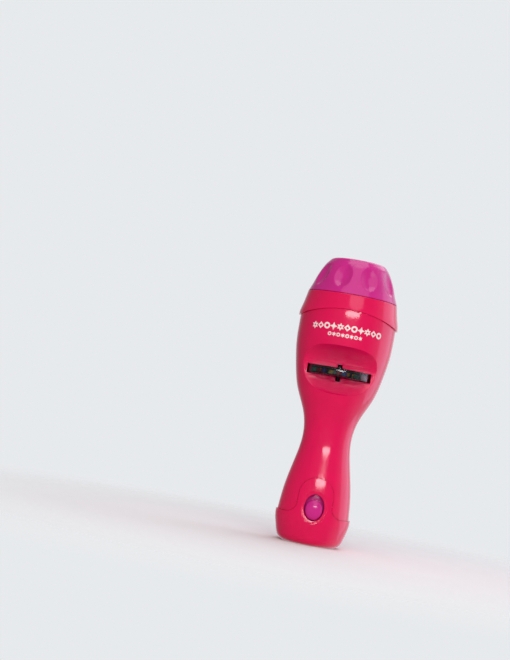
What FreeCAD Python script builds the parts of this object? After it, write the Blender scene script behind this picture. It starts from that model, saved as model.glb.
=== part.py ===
"""Kaleidoscope projector: a torch with a bead disc, mirrors and a focusing lens. Millimetres.

The torch stands on its foot with +Z up along the light path. The switch and the disc slot face -Y.
"""
import FreeCAD, Part
import math
import os
import Sketcher

doc = FreeCAD.newDocument("KaleidoscopeProjector")
sheet = doc.addObject("Spreadsheet::Sheet", "Sizes")

# ---------------------------------------------------------------- driving sizes

SIZES = [
    # body outline: radius and height of each station, from the hem at the foot to the throat
    ("hem_radius", 19.75), ("hem_height", 14.0),
    ("palm_radius", 19.2), ("palm_height", 21.0),
    ("grip_radius", 18.3), ("grip_height", 29.0),
    ("taper_radius", 15.1), ("taper_height", 45.0),
    ("waist_radius", 13.35), ("waist_height", 57.0),
    ("rise_radius", 15.2), ("rise_height", 69.5),
    ("flare_radius", 20.9), ("flare_height", 82.5),
    ("hip_radius", 24.3), ("hip_height", 96.0),
    # the widest part: each step is taken off the belt's radius
    ("belt_radius", 26.3), ("belt_height", 118.0),
    ("shoulder_step", 0.25), ("shoulder_height", 108.0),
    ("brow_step", 0.2), ("brow_height", 126.5),
    ("throat_step", 2.3), ("throat_height", 135.4),
    ("total_length", 155.5),
    # walls and fits
    ("wall", 1.8), ("fit_gap", 0.1), ("seam_gap", 0.12), ("air_gap", 0.3),
    # foot cap and its tongue
    ("foot_flat_radius", 12.9), ("toe_radius", 15.45), ("toe_height", 0.55),
    ("foot_radius", 17.0), ("foot_height", 1.9), ("heel_radius", 18.75), ("heel_height", 6.3),
    ("cap_step", 0.6),
    ("seam_height", 16.0), ("spigot_height", 3.5), ("spigot_wall", 1.4),
    ("tongue_half", 9.3), ("tongue_top", 36.3), ("tongue_fillet", 6.0),
    # slide button and its well
    ("knob_half_width", 4.7), ("knob_half_height", 5.5), ("well_half_width", 5.4),
    ("well_half_height", 7.15), ("well_height", 20.4), ("dish_half_width", 6.9),
    ("dish_half_height", 8.9), ("dish_depth", 1.3), ("slide_travel", 2.4),
    # collar
    ("collar_step", 0.7), ("collar_mid_step", 0.45), ("collar_mid_height", 129.2),
    ("collar_top_step", 0.6), ("arch_side_height", 121.6), ("arch_top_height", 126.9),
    ("collar_spigot_top", 129.5), ("flange_thickness", 2.6),
    # focus ring
    ("skirt_step", 4.6), ("skirt_wall", 2.4), ("lens_lip", 1.0), ("bead_height", 1.6),
    ("scallop_width", 6.2), ("scallop_length", 12.8), ("scallop_depth", 1.5),
    ("focus_travel", 2.0), ("focus_half_turn", 40.0), ("pin_radius", 1.0),
    # projection lens, its cell and the barrel
    ("lens_sphere", 45.0), ("lens_edge", 2.0), ("lens_height", 143.3),
    ("barrel_wall", 1.5), ("lens_cell_wall", 1.3), ("barrel_seat_height", 116.6),
    ("barrel_top", 148.0),
    # mirrors
    ("mirror_side", 13.9), ("mirror_length", 21.0), ("mirror_thickness", 1.0), ("tube_wall", 1.4),
    # bead disc and slot
    ("slot_height", 93.3), ("slot_gap", 5.0), ("disc_radius", 17.0), ("disc_thickness", 4.4),
    ("disc_forward", 10.0), ("disc_clearance", 0.3), ("notch_half_width", 1.35),
    ("notch_depth", 2.1), ("scoop_radius", 14.3), ("scoop_mouth", 14.0), ("guide_thickness", 3.0),
    ("aperture_radius", 6.5), ("capsule_wall", 0.9), ("capsule_skin", 0.8), ("axle_radius", 1.2),
    # lamp
    ("lamp_radius", 2.5), ("lamp_height", 8.6), ("board_radius", 8.6), ("board_thickness", 1.2),
    ("condenser_radius", 9.1), ("condenser_sphere", 16.0), ("condenser_edge", 0.5),
    # power cells
    ("cell_radius", 5.25), ("cell_length", 44.5), ("cell_base_height", 22.5), ("cell_back", 2.0),
    ("cell_clearance", 0.07), ("contact_depth_low", 3.4), ("contact_depth_high", 2.6),
    ("contact_sheet", 0.4),
    # battery door
    ("door_margin", 0.43), ("door_base_height", 22.0), ("door_top_height", 75.5),
    ("door_corner", 3.0),
    # screws
    ("screw_radius", 1.2), ("screw_head_radius", 2.2), ("screw_head_height", 1.4),
    ("boss_radius", 2.6), ("low_boss_side", 13.9), ("low_boss_height", 27.0),
    ("high_boss_side", 18.6), ("high_boss_height", 109.0),
    # switch and wires
    ("switch_half_width", 3.4), ("switch_half_height", 7.0), ("switch_front", 12.9),
    ("switch_depth", 4.0), ("wire_radius", 0.6),
]


class Size:
    """A length: the expression that gives it from the sheet, and its number now."""

    def __init__(self, text, value):
        self.text = text
        self.value = float(value)

    @staticmethod
    def of(other):
        if isinstance(other, Size):
            return other
        return Size("(%r)" % float(other), other)

    def __add__(self, other):
        other = Size.of(other)
        return Size("(%s + %s)" % (self.text, other.text), self.value + other.value)

    def __sub__(self, other):
        other = Size.of(other)
        return Size("(%s - %s)" % (self.text, other.text), self.value - other.value)

    def __mul__(self, other):
        other = Size.of(other)
        return Size("(%s * %s)" % (self.text, other.text), self.value * other.value)

    def __truediv__(self, other):
        other = Size.of(other)
        return Size("(%s / %s)" % (self.text, other.text), self.value / other.value)

    def __radd__(self, other):
        return Size.of(other) + self

    def __rsub__(self, other):
        return Size.of(other) - self

    def __rmul__(self, other):
        return Size.of(other) * self

    def __neg__(self):
        return Size("(-%s)" % self.text, -self.value)

    def root(self):
        return Size("sqrt(%s)" % self.text, math.sqrt(self.value))


def fill_sheet():
    """Write each size into a cell with its alias, and give back the sizes by name."""
    sizes = {}
    for row, (alias, value) in enumerate(SIZES, start=1):
        sheet.set("A%d" % row, alias)
        sheet.set("B%d" % row, str(value))
        sheet.setAlias("B%d" % row, alias)
        sizes[alias] = Size("Sizes.%s" % alias, value)
    return sizes


S = fill_sheet()
doc.recompute()

# sizes that follow others, so that pieces which fit together stay fitted
S["shoulder_radius"] = S["belt_radius"] - S["shoulder_step"]
S["brow_radius"] = S["belt_radius"] - S["brow_step"]
S["throat_radius"] = S["belt_radius"] - S["throat_step"]
S["collar_radius"] = S["belt_radius"] + S["collar_step"]
S["collar_mid_radius"] = S["belt_radius"] - S["collar_mid_step"]
S["collar_top_radius"] = S["throat_radius"] + S["collar_top_step"]
S["skirt_radius"] = S["throat_radius"] - S["skirt_step"]
S["ring_bore"] = S["skirt_radius"] - S["skirt_wall"]
S["barrel_outer"] = S["ring_bore"] - S["air_gap"]
S["barrel_inner"] = S["barrel_outer"] - S["barrel_wall"]
S["cell_outer"] = S["barrel_inner"] - S["fit_gap"]
S["lens_radius"] = S["cell_outer"] - S["lens_cell_wall"]
S["lens_opening"] = S["lens_radius"] - S["lens_lip"]
S["cell_spread"] = S["cell_radius"] + S["cell_clearance"]
S["door_half_width"] = S["cell_spread"] + S["cell_radius"] + S["door_margin"]
FAR = 60.0  # past any piece of the torch, for cutting blocks
TALL = 200.0


def bind(item, prop, size):
    item.setExpression(prop, Size.of(size).text)


def place(item, x=0, y=0, z=0):
    for name, size in (("x", x), ("y", y), ("z", z)):
        bind(item, "Placement.Base.%s" % name, size)


def turned_about(item, axis, degrees):
    item.Placement.Rotation = FreeCAD.Rotation(FreeCAD.Vector(*axis), degrees)


# ---------------------------------------------------------------- building blocks

def block(name, x, y, z):
    """A box between the low and high values of each pair."""
    item = doc.addObject("Part::Box", name)
    for prop, (low, high) in (("Length", x), ("Width", y), ("Height", z)):
        bind(item, prop, Size.of(high) - Size.of(low))
    place(item, x[0], y[0], z[0])
    return item


AXIS_TURN = {"X": ((0, 1, 0), 90), "Y": ((1, 0, 0), -90), "Z": ((0, 0, 1), 0)}


def rod(name, radius, low, high, axis="Z", x=0, y=0, z=0):
    """A cylinder along an axis, from low to high on that axis."""
    item = doc.addObject("Part::Cylinder", name)
    bind(item, "Radius", radius)
    bind(item, "Height", Size.of(high) - Size.of(low))
    turned_about(item, *AXIS_TURN[axis])
    start = {"X": (low, y, z), "Y": (x, low, z), "Z": (x, y, low)}[axis]
    place(item, *start)
    return item


def oval_bar(name, half_width, half_height, back, front, height):
    """An oval bar along Y, from back to front (front is the lower Y), centred at a height."""
    oval = doc.addObject("Part::Ellipse", name + "_oval")
    bind(oval, "MajorRadius", half_height)
    bind(oval, "MinorRadius", half_width)
    turned_about(oval, (1, 1, 1), 240)
    place(oval, 0, back, height)
    bar = doc.addObject("Part::Extrusion", name)
    bar.Base = oval
    bar.DirMode = "Custom"
    bar.Dir = FreeCAD.Vector(0, -1, 0)
    bar.Solid = True
    bind(bar, "LengthFwd", Size.of(back) - Size.of(front))
    return bar


def ball(name, radius, x=0, y=0, z=0):
    item = doc.addObject("Part::Sphere", name)
    bind(item, "Radius", radius)
    place(item, x, y, z)
    return item


def joined(name, *items):
    item = doc.addObject("Part::MultiFuse", name)
    item.Shapes = list(items)
    item.Refine = True
    return item


def shared(name, *items):
    item = doc.addObject("Part::MultiCommon", name)
    item.Shapes = list(items)
    return item


def less(name, base, *tools):
    """The base with every tool cut away."""
    item = doc.addObject("Part::Cut", name)
    item.Base = base
    if len(tools) == 1:
        item.Tool = tools[0]
    else:
        item.Tool = joined(name + "_tools", *tools)
    return item


def plane_of(body, role):
    for feature in body.Origin.OriginFeatures:
        if feature.Role == role:
            return feature
    raise ValueError(role)


def outline(body, name, role, corners):
    """A closed sketch whose corners are bound to the sheet."""
    sketch = body.newObject("Sketcher::SketchObject", name)
    sketch.AttachmentSupport = (plane_of(body, role), [""])
    sketch.MapMode = "FlatFace"
    corners = [(Size.of(a), Size.of(b)) for a, b in corners]
    points = [FreeCAD.Vector(a.value, b.value, 0) for a, b in corners]
    count = len(points)
    for index in range(count):
        sketch.addGeometry(Part.LineSegment(points[index], points[(index + 1) % count]), False)
    for index in range(count):
        sketch.addConstraint(Sketcher.Constraint("Coincident", index, 2, (index + 1) % count, 1))
    for index, corner in enumerate(corners):
        for kind, axis, size in (("DistanceX", -2, corner[0]), ("DistanceY", -1, corner[1])):
            if size.value == 0.0:
                sketch.addConstraint(Sketcher.Constraint("PointOnObject", index, 1, axis))
                continue
            number = sketch.addConstraint(Sketcher.Constraint(kind, -1, 1, index, 1, size.value))
            sketch.setExpression("Constraints[%d]" % number, size.text)
    return sketch


def lathe(name, corners):
    """A turned piece: (radius, height) corners spun about Z."""
    body = doc.addObject("PartDesign::Body", name)
    sketch = outline(body, name + "_outline", "XZ_Plane", corners)
    spin = body.newObject("PartDesign::Revolution", name + "_spin")
    spin.Profile = sketch
    spin.ReferenceAxis = (sketch, ["V_Axis"])
    spin.Angle = 360.0
    return body


def pad(name, role, corners, low, high, corner=None):
    """A flat piece: corners in the plane, between low and high along the plane's own axis."""
    body = doc.addObject("PartDesign::Body", name)
    sketch = outline(body, name + "_outline", role, corners)
    start = Size.of(low)
    if role == "XZ_Plane":
        start = -Size.of(high)
    bind(sketch, "AttachmentOffset.Base.z", start)
    slab = body.newObject("PartDesign::Pad", name + "_pad")
    slab.Profile = sketch
    bind(slab, "Length", Size.of(high) - Size.of(low))
    if corner is not None:
        doc.recompute()
        way = {"XZ_Plane": FreeCAD.Vector(0, 1, 0), "XY_Plane": FreeCAD.Vector(0, 0, 1)}[role]
        edges = []
        for number, edge in enumerate(slab.Shape.Edges, start=1):
            if abs(edge.tangentAt(edge.FirstParameter).dot(way)) > 0.99:
                edges.append("Edge%d" % number)
        rounding = body.newObject("PartDesign::Fillet", name + "_corners")
        rounding.Base = (slab, edges)
        bind(rounding, "Radius", corner)
    return body


def box_corners(half_width, low, high):
    return [(-half_width, low), (half_width, low), (half_width, high), (-half_width, high)]


def spun_curve(name, stations):
    """A solid of revolution whose side is one smooth curve through (radius, height) stations."""
    points = [FreeCAD.Vector(Size.of(r).value, 0, Size.of(h).value) for r, h in stations]
    curve = Part.BSplineCurve()
    curve.interpolate(points)
    edges = [curve.toShape()]
    low_axis = FreeCAD.Vector(0, 0, points[0].z)
    high_axis = FreeCAD.Vector(0, 0, points[-1].z)
    edges.append(Part.makeLine(points[-1], high_axis))
    edges.append(Part.makeLine(high_axis, low_axis))
    edges.append(Part.makeLine(low_axis, points[0]))
    face = Part.Face(Part.Wire(edges))
    solid = face.revolve(FreeCAD.Vector(0, 0, 0), FreeCAD.Vector(0, 0, 1), 360)
    item = doc.addObject("Part::Feature", name)
    item.Shape = solid
    return item


def tube_along(name, radius, points, bend):
    """A round tube along straight runs joined by tangent arcs of one radius."""
    points = [FreeCAD.Vector(*[Size.of(value).value for value in point]) for point in points]
    edges = []
    start = points[0]
    for before, corner, after in zip(points, points[1:], points[2:]):
        inward = (before - corner).normalize()
        outward = (after - corner).normalize()
        half_angle = inward.getAngle(outward) / 2
        reach = bend / math.tan(half_angle)
        limit = 0.45 * min((before - corner).Length, (after - corner).Length)
        reach = min(reach, limit)
        radius_here = reach * math.tan(half_angle)
        first = corner + inward * reach
        last = corner + outward * reach
        middle_way = (inward + outward).normalize()
        centre = corner + middle_way * (radius_here / math.sin(half_angle))
        middle = centre - middle_way * radius_here
        edges.append(Part.makeLine(start, first))
        edges.append(Part.Arc(first, middle, last).toShape())
        start = last
    edges.append(Part.makeLine(start, points[-1]))
    path = Part.Wire(edges)
    ring = Part.Wire(Part.makeCircle(Size.of(radius).value, points[0], points[1] - points[0]))
    item = doc.addObject("Part::Feature", name)
    item.Shape = path.makePipeShell([ring], True, False)
    return item


def coil(name, wire_radius, coil_radius, low, high, turns, x, y):
    """A compression spring that fills the room from low to high."""
    low = Size.of(low).value + wire_radius
    high = Size.of(high).value - wire_radius
    helix = Part.makeHelix((high - low) / turns, high - low, coil_radius)
    ring = Part.Wire(Part.makeCircle(wire_radius, FreeCAD.Vector(coil_radius, 0, 0),
                                     FreeCAD.Vector(0, 1, 0)))
    item = doc.addObject("Part::Feature", name)
    item.Shape = Part.Wire(helix.Edges).makePipeShell([ring], True, True)
    place_now = FreeCAD.Vector(Size.of(x).value, Size.of(y).value, low)
    item.Placement = FreeCAD.Placement(place_now, FreeCAD.Rotation())
    return item


# ---------------------------------------------------------------- body surfaces

STATIONS = ("hem", "palm", "grip", "taper", "waist", "rise", "flare", "hip", "shoulder", "belt",
            "brow", "throat")


def body_curve(name, inset):
    """The body's surface, moved in by inset."""
    return spun_curve(name, [(S[at + "_radius"] - inset, S[at + "_height"]) for at in STATIONS])


skin = body_curve("body_skin", 0)
hollow = body_curve("body_hollow", S["wall"])
inner_room = body_curve("inner_room", S["wall"] + S["fit_gap"])
body_wall = less("body_wall", skin, hollow)

scoop_axis = S["scoop_mouth"] + S["scoop_radius"]
slot_low = S["slot_height"] - S["slot_gap"] / 2
slot_high = S["slot_height"] + S["slot_gap"] / 2

belt_reach = S["collar_radius"]
arch_rise = S["arch_top_height"] - S["arch_side_height"]
arch_radius = (belt_reach * belt_reach + arch_rise * arch_rise) / (arch_rise * 2)
arch_centre = S["arch_top_height"] - arch_radius


def below_arch(name, growth):
    """Everything under the arched seam, raised by growth."""
    drum = rod(name + "_drum", arch_radius + growth, -FAR, FAR, "Y", z=arch_centre)
    lower = block(name + "_lower", (-FAR, FAR), (-FAR, FAR), (0, arch_centre))
    return joined(name, drum, lower)


def cap_zone(name, growth):
    """The foot cap's own region: below the seam, with the tongue at the front."""
    half = S["tongue_half"] + growth
    top_centre = S["tongue_top"] - S["tongue_half"]
    seam = S["seam_height"] + growth
    fillet = S["tongue_fillet"] - growth
    side = S["tongue_half"] + S["tongue_fillet"]
    fillet_height = S["seam_height"] + S["tongue_fillet"]
    front = (-FAR, 0)
    cup = block(name + "_cup", (-FAR, FAR), (-FAR, FAR), (-1, seam))
    blade = block(name + "_blade", (-half, half), front, (0, top_centre))
    tip = rod(name + "_tip", half, -FAR, 0, "Y", z=top_centre)
    web = block(name + "_web", (-side, side), front, (0, fillet_height))
    rounds = []
    for label, at in (("left", -side), ("right", side)):
        rounds.append(rod(name + "_" + label, fillet, -FAR - 1, 1, "Y", x=at, z=fillet_height))
    web_cut = less(name + "_web_cut", web, *rounds)
    return joined(name, cup, blade, tip, web_cut)


def ring_rib(name, low, high, depth):
    """A locating rib round the inside of the shells."""
    slab = rod(name + "_slab", FAR, low, high)
    disc = shared(name + "_disc", slab, skin_core)
    deeper = body_curve(name + "_bore", S["wall"] + depth)
    return less(name, disc, deeper)


skin_core = body_curve("skin_core", S["wall"] / 2)

# ---------------------------------------------------------------- foot cap

cap_thick = S["wall"] + S["cap_step"]
cap_stations = [(S["foot_flat_radius"], 0), (S["toe_radius"], S["toe_height"]),
                (S["foot_radius"], S["foot_height"]), (S["heel_radius"], S["heel_height"])]
cap_hollow_stations = [(S["foot_radius"] - cap_thick, S["wall"]),
                       (S["heel_radius"] - cap_thick, S["heel_height"])]
for at in ("hem", "palm", "grip", "taper"):
    cap_stations.append((S[at + "_radius"] + S["cap_step"], S[at + "_height"]))
    cap_hollow_stations.append((S[at + "_radius"] - S["wall"], S[at + "_height"]))
cap_skin = spun_curve("cap_skin", cap_stations)
cap_hollow = spun_curve("cap_hollow", cap_hollow_stations)
cap_cup = less("cap_cup", shared("cap_block", cap_skin, cap_zone("cap_zone", 0)), cap_hollow)

SPIGOT_ROOT = 0.6  # how far the spigot's root stands into the cap's wall
SNAP_HEIGHT = 0.7
SNAP_DEPTH = 0.5
spigot_top = S["seam_height"] + S["spigot_height"]
spigot_foot = S["seam_height"] - 3
spigot_inner = S["hem_radius"] - S["wall"] - S["spigot_wall"] - SPIGOT_ROOT
spigot_band = less("spigot_band",
                   shared("spigot_disc", inner_room,
                          rod("spigot_slab", FAR, spigot_foot, spigot_top)),
                   rod("spigot_bore", spigot_inner, 0, TALL))
spigot_root = less("spigot_root",
                   rod("spigot_root_disc", S["hem_radius"] - SPIGOT_ROOT, spigot_foot,
                       S["seam_height"] - 0.5),
                   rod("spigot_root_bore", spigot_inner, 0, TALL))
snap_low = spigot_top - 1.6
snap_radius = S["palm_radius"] - S["wall"] + SNAP_DEPTH
snap_high = snap_low + SNAP_HEIGHT
snap_bead = less("snap_bead", rod("snap_disc", snap_radius - S["fit_gap"], snap_low, snap_high),
                 rod("snap_bore", spigot_inner, 0, TALL))
spigot_relief = block("spigot_relief", (-S["tongue_half"] - 1.9, S["tongue_half"] + 1.9), (-FAR, -4),
                      (0, TALL))
spigot = less("spigot", joined("spigot_ring", spigot_band, spigot_root, snap_bead), spigot_relief)

POST_RADIUS = 1.6
EAR_SCREW_RADIUS = 0.9
post_side = S["switch_half_width"] + 4.2
switch_post_front = -(S["palm_radius"] - 2.0)
posts = []
post_pilots = []
for label, side in (("left", -post_side), ("right", post_side)):
    posts.append(rod("switch_post_" + label, POST_RADIUS, switch_post_front,
                     -S["switch_front"] - S["fit_gap"], "Y", x=side, z=S["well_height"]))
    post_pilots.append(rod("post_pilot_" + label, EAR_SCREW_RADIUS + 0.05, -S["palm_radius"] + 3.0, 0,
                           "Y", x=side, z=S["well_height"]))

well_hole = oval_bar("well_hole", S["well_half_width"], S["well_half_height"], -10, -FAR,
                     S["well_height"])
dish_floor = -(S["palm_radius"] + S["cap_step"] - S["dish_depth"])
well_dish = oval_bar("well_dish", S["dish_half_width"], S["dish_half_height"], dish_floor, -FAR,
                     S["well_height"])
cap_solid = joined("cap_solid", cap_cup, spigot, *posts)
base_cap = less("base_cap", cap_solid, well_hole, well_dish, *post_pilots)

# ---------------------------------------------------------------- shells

shell_zone = cap_zone("shell_cap_zone", S["seam_gap"])
shell_wall_low = less("shell_wall_low", body_wall, shell_zone)
arch_below_shell = below_arch("arch_below_shell", 0)
shell_wall = shared("shell_wall", shell_wall_low, arch_below_shell)

seat_high = S["barrel_seat_height"] + S["wall"]
neck_low = seat_high + S["fit_gap"] * 2
neck_band = less("neck_band",
                 shared("neck_disc", inner_room,
                        rod("neck_slab", FAR, neck_low, S["collar_spigot_top"])),
                 body_curve("neck_bore", S["wall"] * 2 + S["fit_gap"]))
neck_root = ring_rib("neck_root", neck_low, S["arch_side_height"] - 1, S["wall"])

guide_low = slot_low - S["guide_thickness"]
guide_high = slot_high + S["guide_thickness"]
rib = 1.2
rib_depth = 1.6
ribs = [
    ring_rib("guide_rib_low", guide_low - S["fit_gap"] - rib, guide_low - S["fit_gap"], rib_depth),
    ring_rib("guide_rib_high", guide_high + S["fit_gap"], guide_high + S["fit_gap"] + rib, rib_depth),
    ring_rib("barrel_rib_low", S["barrel_seat_height"] - S["fit_gap"] - rib,
             S["barrel_seat_height"] - S["fit_gap"], rib_depth),
    ring_rib("barrel_rib_high", seat_high + S["fit_gap"], seat_high + S["fit_gap"] + rib, rib_depth),
]

scoop_liner = shared("scoop_liner", rod("scoop_liner_bar", S["scoop_radius"] + S["wall"], -FAR, FAR,
                                        "X", y=-scoop_axis, z=S["slot_height"]),
                     skin, block("scoop_front", (-FAR, FAR), (-FAR, -5), (0, TALL)))
scoop_cut = rod("scoop_cut", S["scoop_radius"], -FAR, FAR, "X", y=-scoop_axis, z=S["slot_height"])
slot_half = S["disc_radius"] + S["disc_clearance"]
slot_cut = block("slot_cut", (-slot_half, slot_half), (-FAR, -8), (slot_low, slot_high))
notch_cut = block("notch_cut", (-S["notch_half_width"], S["notch_half_width"]), (-FAR, -8),
                  (slot_low - S["notch_depth"], slot_high + S["notch_depth"]))
snap_groove = less("snap_groove", rod("snap_groove_disc", snap_radius + S["fit_gap"],
                                      snap_low - S["fit_gap"] * 1.5, snap_high + S["fit_gap"] * 1.5),
                   rod("snap_groove_bore", spigot_inner, 0, TALL))

BOSSES = []
for side in (-1, 1):
    BOSSES.append((S["low_boss_side"] * side, S["low_boss_height"]))
    BOSSES.append((S["high_boss_side"] * side, S["high_boss_height"]))
pilot_radius = S["screw_radius"] + 0.05
screw_pass = S["screw_radius"] + 0.3
counterbore_radius = S["screw_head_radius"] + 0.3
head_seat = 5.0

front_posts = []
rear_posts = []
front_pilots = []
rear_holes = []
for number, (x, z) in enumerate(BOSSES, start=1):
    front_posts.append(rod("front_boss_%d" % number, S["boss_radius"], -FAR, 0, "Y", x=x, z=z))
    rear_posts.append(rod("rear_boss_%d" % number, S["boss_radius"], 0, FAR, "Y", x=x, z=z))
    front_pilots.append(rod("front_pilot_%d" % number, pilot_radius, -5.5, 1, "Y", x=x, z=z))
    rear_holes.append(rod("rear_pass_%d" % number, screw_pass, -1, FAR, "Y", x=x, z=z))
    rear_holes.append(rod("rear_counterbore_%d" % number, counterbore_radius, head_seat, FAR, "Y",
                          x=x, z=z))

front_boss_group = shared("front_boss_group", joined("front_boss_bars", *front_posts), skin_core)
rear_boss_group = shared("rear_boss_group", joined("rear_boss_bars", *rear_posts), skin_core)

shell_stock = joined("shell_stock", shell_wall, neck_band, neck_root, *ribs)
front_half = block("front_half", (-FAR, FAR), (-FAR, 0), (0, TALL))
rear_half = block("rear_half", (-FAR, FAR), (0, FAR), (0, TALL))

front_stock = joined("front_stock", shared("front_wall", shell_stock, front_half), scoop_liner,
                     front_boss_group)
front_shell = less("front_shell", front_stock, scoop_cut, slot_cut, notch_cut, snap_groove,
                   *front_pilots)

# ---------------------------------------------------------------- battery door and rear shell

door_y = (2, FAR)
door_opening = pad("door_opening", "XZ_Plane",
                   box_corners(S["door_half_width"] + S["seam_gap"],
                               S["door_base_height"] - S["seam_gap"],
                               S["door_top_height"] + S["seam_gap"]), *door_y,
                   corner=S["door_corner"] + S["seam_gap"])
door_blank = pad("door_blank", "XZ_Plane",
                 box_corners(S["door_half_width"], S["door_base_height"], S["door_top_height"]),
                 *door_y, corner=S["door_corner"])
door_panel = shared("door_panel", door_blank, body_wall)
hook_outer = S["palm_radius"] - S["wall"] - S["air_gap"]
door_hook = less("door_hook",
                 rod("hook_disc", hook_outer, S["door_base_height"] - 1.6, S["door_base_height"] + 3),
                 rod("hook_bore", hook_outer - 1.3, 0, TALL),
                 block("hook_trim_front", (-FAR, FAR), (-FAR, 14.4), (0, TALL)))
hook_bridge = shared("hook_bridge", block("hook_bridge_bar", (-7.5, 7.5), (hook_outer - 4, FAR),
                                          (S["door_base_height"] + 0.4, S["door_base_height"] + 3)),
                     skin_core)
hook_keep = block("hook_keep", (-7.5, 7.5), (10, FAR), (0, TALL))
hook = shared("hook", joined("hook_stock", door_hook, hook_bridge), hook_keep)

door_screw_height = S["door_top_height"] - 4.6
door_seat = 11.4
door_boss_face = 9.4
nut_post_front = 5.9
door_boss = shared("door_boss", rod("door_boss_bar", S["boss_radius"] + 0.6, door_boss_face, FAR, "Y",
                                    z=door_screw_height), skin_core)
door_pass = rod("door_pass", screw_pass, 0, FAR, "Y", z=door_screw_height)
door_counterbore = rod("door_counterbore", counterbore_radius, door_seat, FAR, "Y",
                       z=door_screw_height)
grip_bars = []
for number in range(3):
    height = S["door_top_height"] - 9 - 2.2 * number
    grip_bars.append(block("door_grip_%d" % number, (-5 + number, 5 - number), (6, FAR),
                           (height - 0.5, height + 0.5)))
grip_skin = body_curve("grip_skin", -0.5)
door_grips = less("door_grips", shared("door_grip_bars", joined("door_grip_stock", *grip_bars),
                                       grip_skin), hollow)
door_stock = joined("door_stock", door_panel, hook, door_boss, door_grips)
battery_door = less("battery_door", door_stock, door_pass, door_counterbore)

nut_post = shared("nut_post", joined(
    "nut_post_stock",
    rod("nut_post_bar", S["boss_radius"] + 0.4, nut_post_front, door_boss_face - 0.1, "Y",
        z=door_screw_height),
    block("nut_post_web", (-FAR, FAR), (nut_post_front, nut_post_front + 1.3),
          (door_screw_height - 1.6, door_screw_height + 1.6))), skin_core)
nut_pilot = rod("nut_pilot", S["screw_radius"] + 0.45, 0, FAR, "Y", z=door_screw_height)
rear_stock_open = less("rear_stock_open", shared("rear_wall", shell_stock, rear_half), door_opening)
rear_stock = joined("rear_stock", rear_stock_open, rear_boss_group, nut_post)
rear_shell = less("rear_shell", rear_stock, nut_pilot, snap_groove, *rear_holes)


def screw(name, x, z, seat, tip):
    """A screw along Y: its head sits at seat, its shank ends at tip."""
    head = rod(name + "_head", S["screw_head_radius"], seat, Size.of(seat) + S["screw_head_height"],
               "Y", x=x, z=z)
    shank = rod(name + "_shank", S["screw_radius"], tip, Size.of(seat) + 0.2, "Y", x=x, z=z)
    slot_a = block(name + "_cross_a", (Size.of(x) - 1.2, Size.of(x) + 1.2),
                   (Size.of(seat) + S["screw_head_height"] - 0.7, FAR), (z - 0.25, z + 0.25))
    slot_b = block(name + "_cross_b", (Size.of(x) - 0.25, Size.of(x) + 0.25),
                   (Size.of(seat) + S["screw_head_height"] - 0.7, FAR), (z - 1.2, z + 1.2))
    return less(name, joined(name + "_stock", head, shank), slot_a, slot_b)


shell_screws = joined("shell_screws", *[
    screw("shell_screw_%d" % number, x, z, head_seat, -4.5)
    for number, (x, z) in enumerate(BOSSES, start=1)])
door_screw = screw("door_screw", 0, door_screw_height, door_seat, 6.5)

# ---------------------------------------------------------------- collar ring

collar_skin = spun_curve("collar_skin", [
    (S["collar_radius"], S["belt_height"]), (S["collar_radius"], S["belt_height"] + 5.5),
    (S["collar_mid_radius"], S["collar_mid_height"]), (S["collar_top_radius"], S["throat_height"])])
collar_bore_fill = body_curve("collar_bore_fill", S["wall"])
flange_low = S["throat_height"] - S["flange_thickness"]
collar_flange = rod("collar_flange", S["throat_radius"] - 1, flange_low, S["throat_height"])
collar_wall = less("collar_wall", collar_skin, collar_bore_fill)
collar_stock = joined("collar_stock", collar_wall, collar_flange)
turn_radius = S["skirt_radius"] + S["fit_gap"]
collar_ring = less("collar_ring", collar_stock, below_arch("arch_below_collar", S["seam_gap"]),
                   rod("collar_bearing", turn_radius, 0, TALL))

# ---------------------------------------------------------------- focus ring

ring_foot = S["throat_height"] + 0.15
ring_height = S["total_length"] - ring_foot
ring_drop = S["collar_top_radius"] - S["lens_opening"]
# share of the ring's height, and share of its radius lost by there
RING_SHARES = [(0.0, 0.0), (0.22, 0.1525), (0.45, 0.288), (0.66, 0.445), (0.83, 0.606), (0.94, 0.755)]
BORE_SHARE = 0.704
CONE_SHARE = 0.845
ring_stations = []
for rise, drop in RING_SHARES:
    ring_stations.append((S["collar_top_radius"] - ring_drop * drop, ring_foot + ring_height * rise))
ring_skin = spun_curve("ring_skin", ring_stations)
lip_radius, lip_height = ring_stations[-1]
ring_lip = lathe("ring_lip", [(0, lip_height - 1), (lip_radius, lip_height),
                              (lip_radius - 0.5, S["total_length"] - 0.72),
                              (lip_radius - 1.15, S["total_length"] - 0.22),
                              (lip_radius - 1.9, S["total_length"]), (0, S["total_length"])])
bead_low = flange_low - S["air_gap"] - S["bead_height"]
ring_bore_top = ring_foot + ring_height * BORE_SHARE
ring_cone_top = ring_foot + ring_height * CONE_SHARE
ring_hollow = lathe("ring_hollow", [
    (0, bead_low - 1), (S["ring_bore"], bead_low - 1), (S["ring_bore"], ring_bore_top),
    (S["lens_opening"], ring_cone_top), (S["lens_opening"], S["total_length"] - 0.9),
    (S["lens_opening"] + 0.5, S["total_length"] + 0.1), (0, S["total_length"] + 0.1)])
bead_high = bead_low + S["bead_height"]
bead_radius = S["skirt_radius"] + 0.8
ring_skirt = lathe("ring_skirt", [
    (S["ring_bore"] - 1, bead_low), (bead_radius, bead_low), (bead_radius, bead_high),
    (S["skirt_radius"], bead_high), (S["skirt_radius"], ring_foot + 2),
    (S["ring_bore"] - 1, ring_foot + 2)])
ring_relief = lathe("ring_relief", [
    (S["skirt_radius"], ring_foot - 1), (S["skirt_radius"] + 2, ring_foot - 1),
    (S["skirt_radius"] + 1.6, ring_foot + 4), (S["skirt_radius"], ring_foot + 4)])

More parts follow.
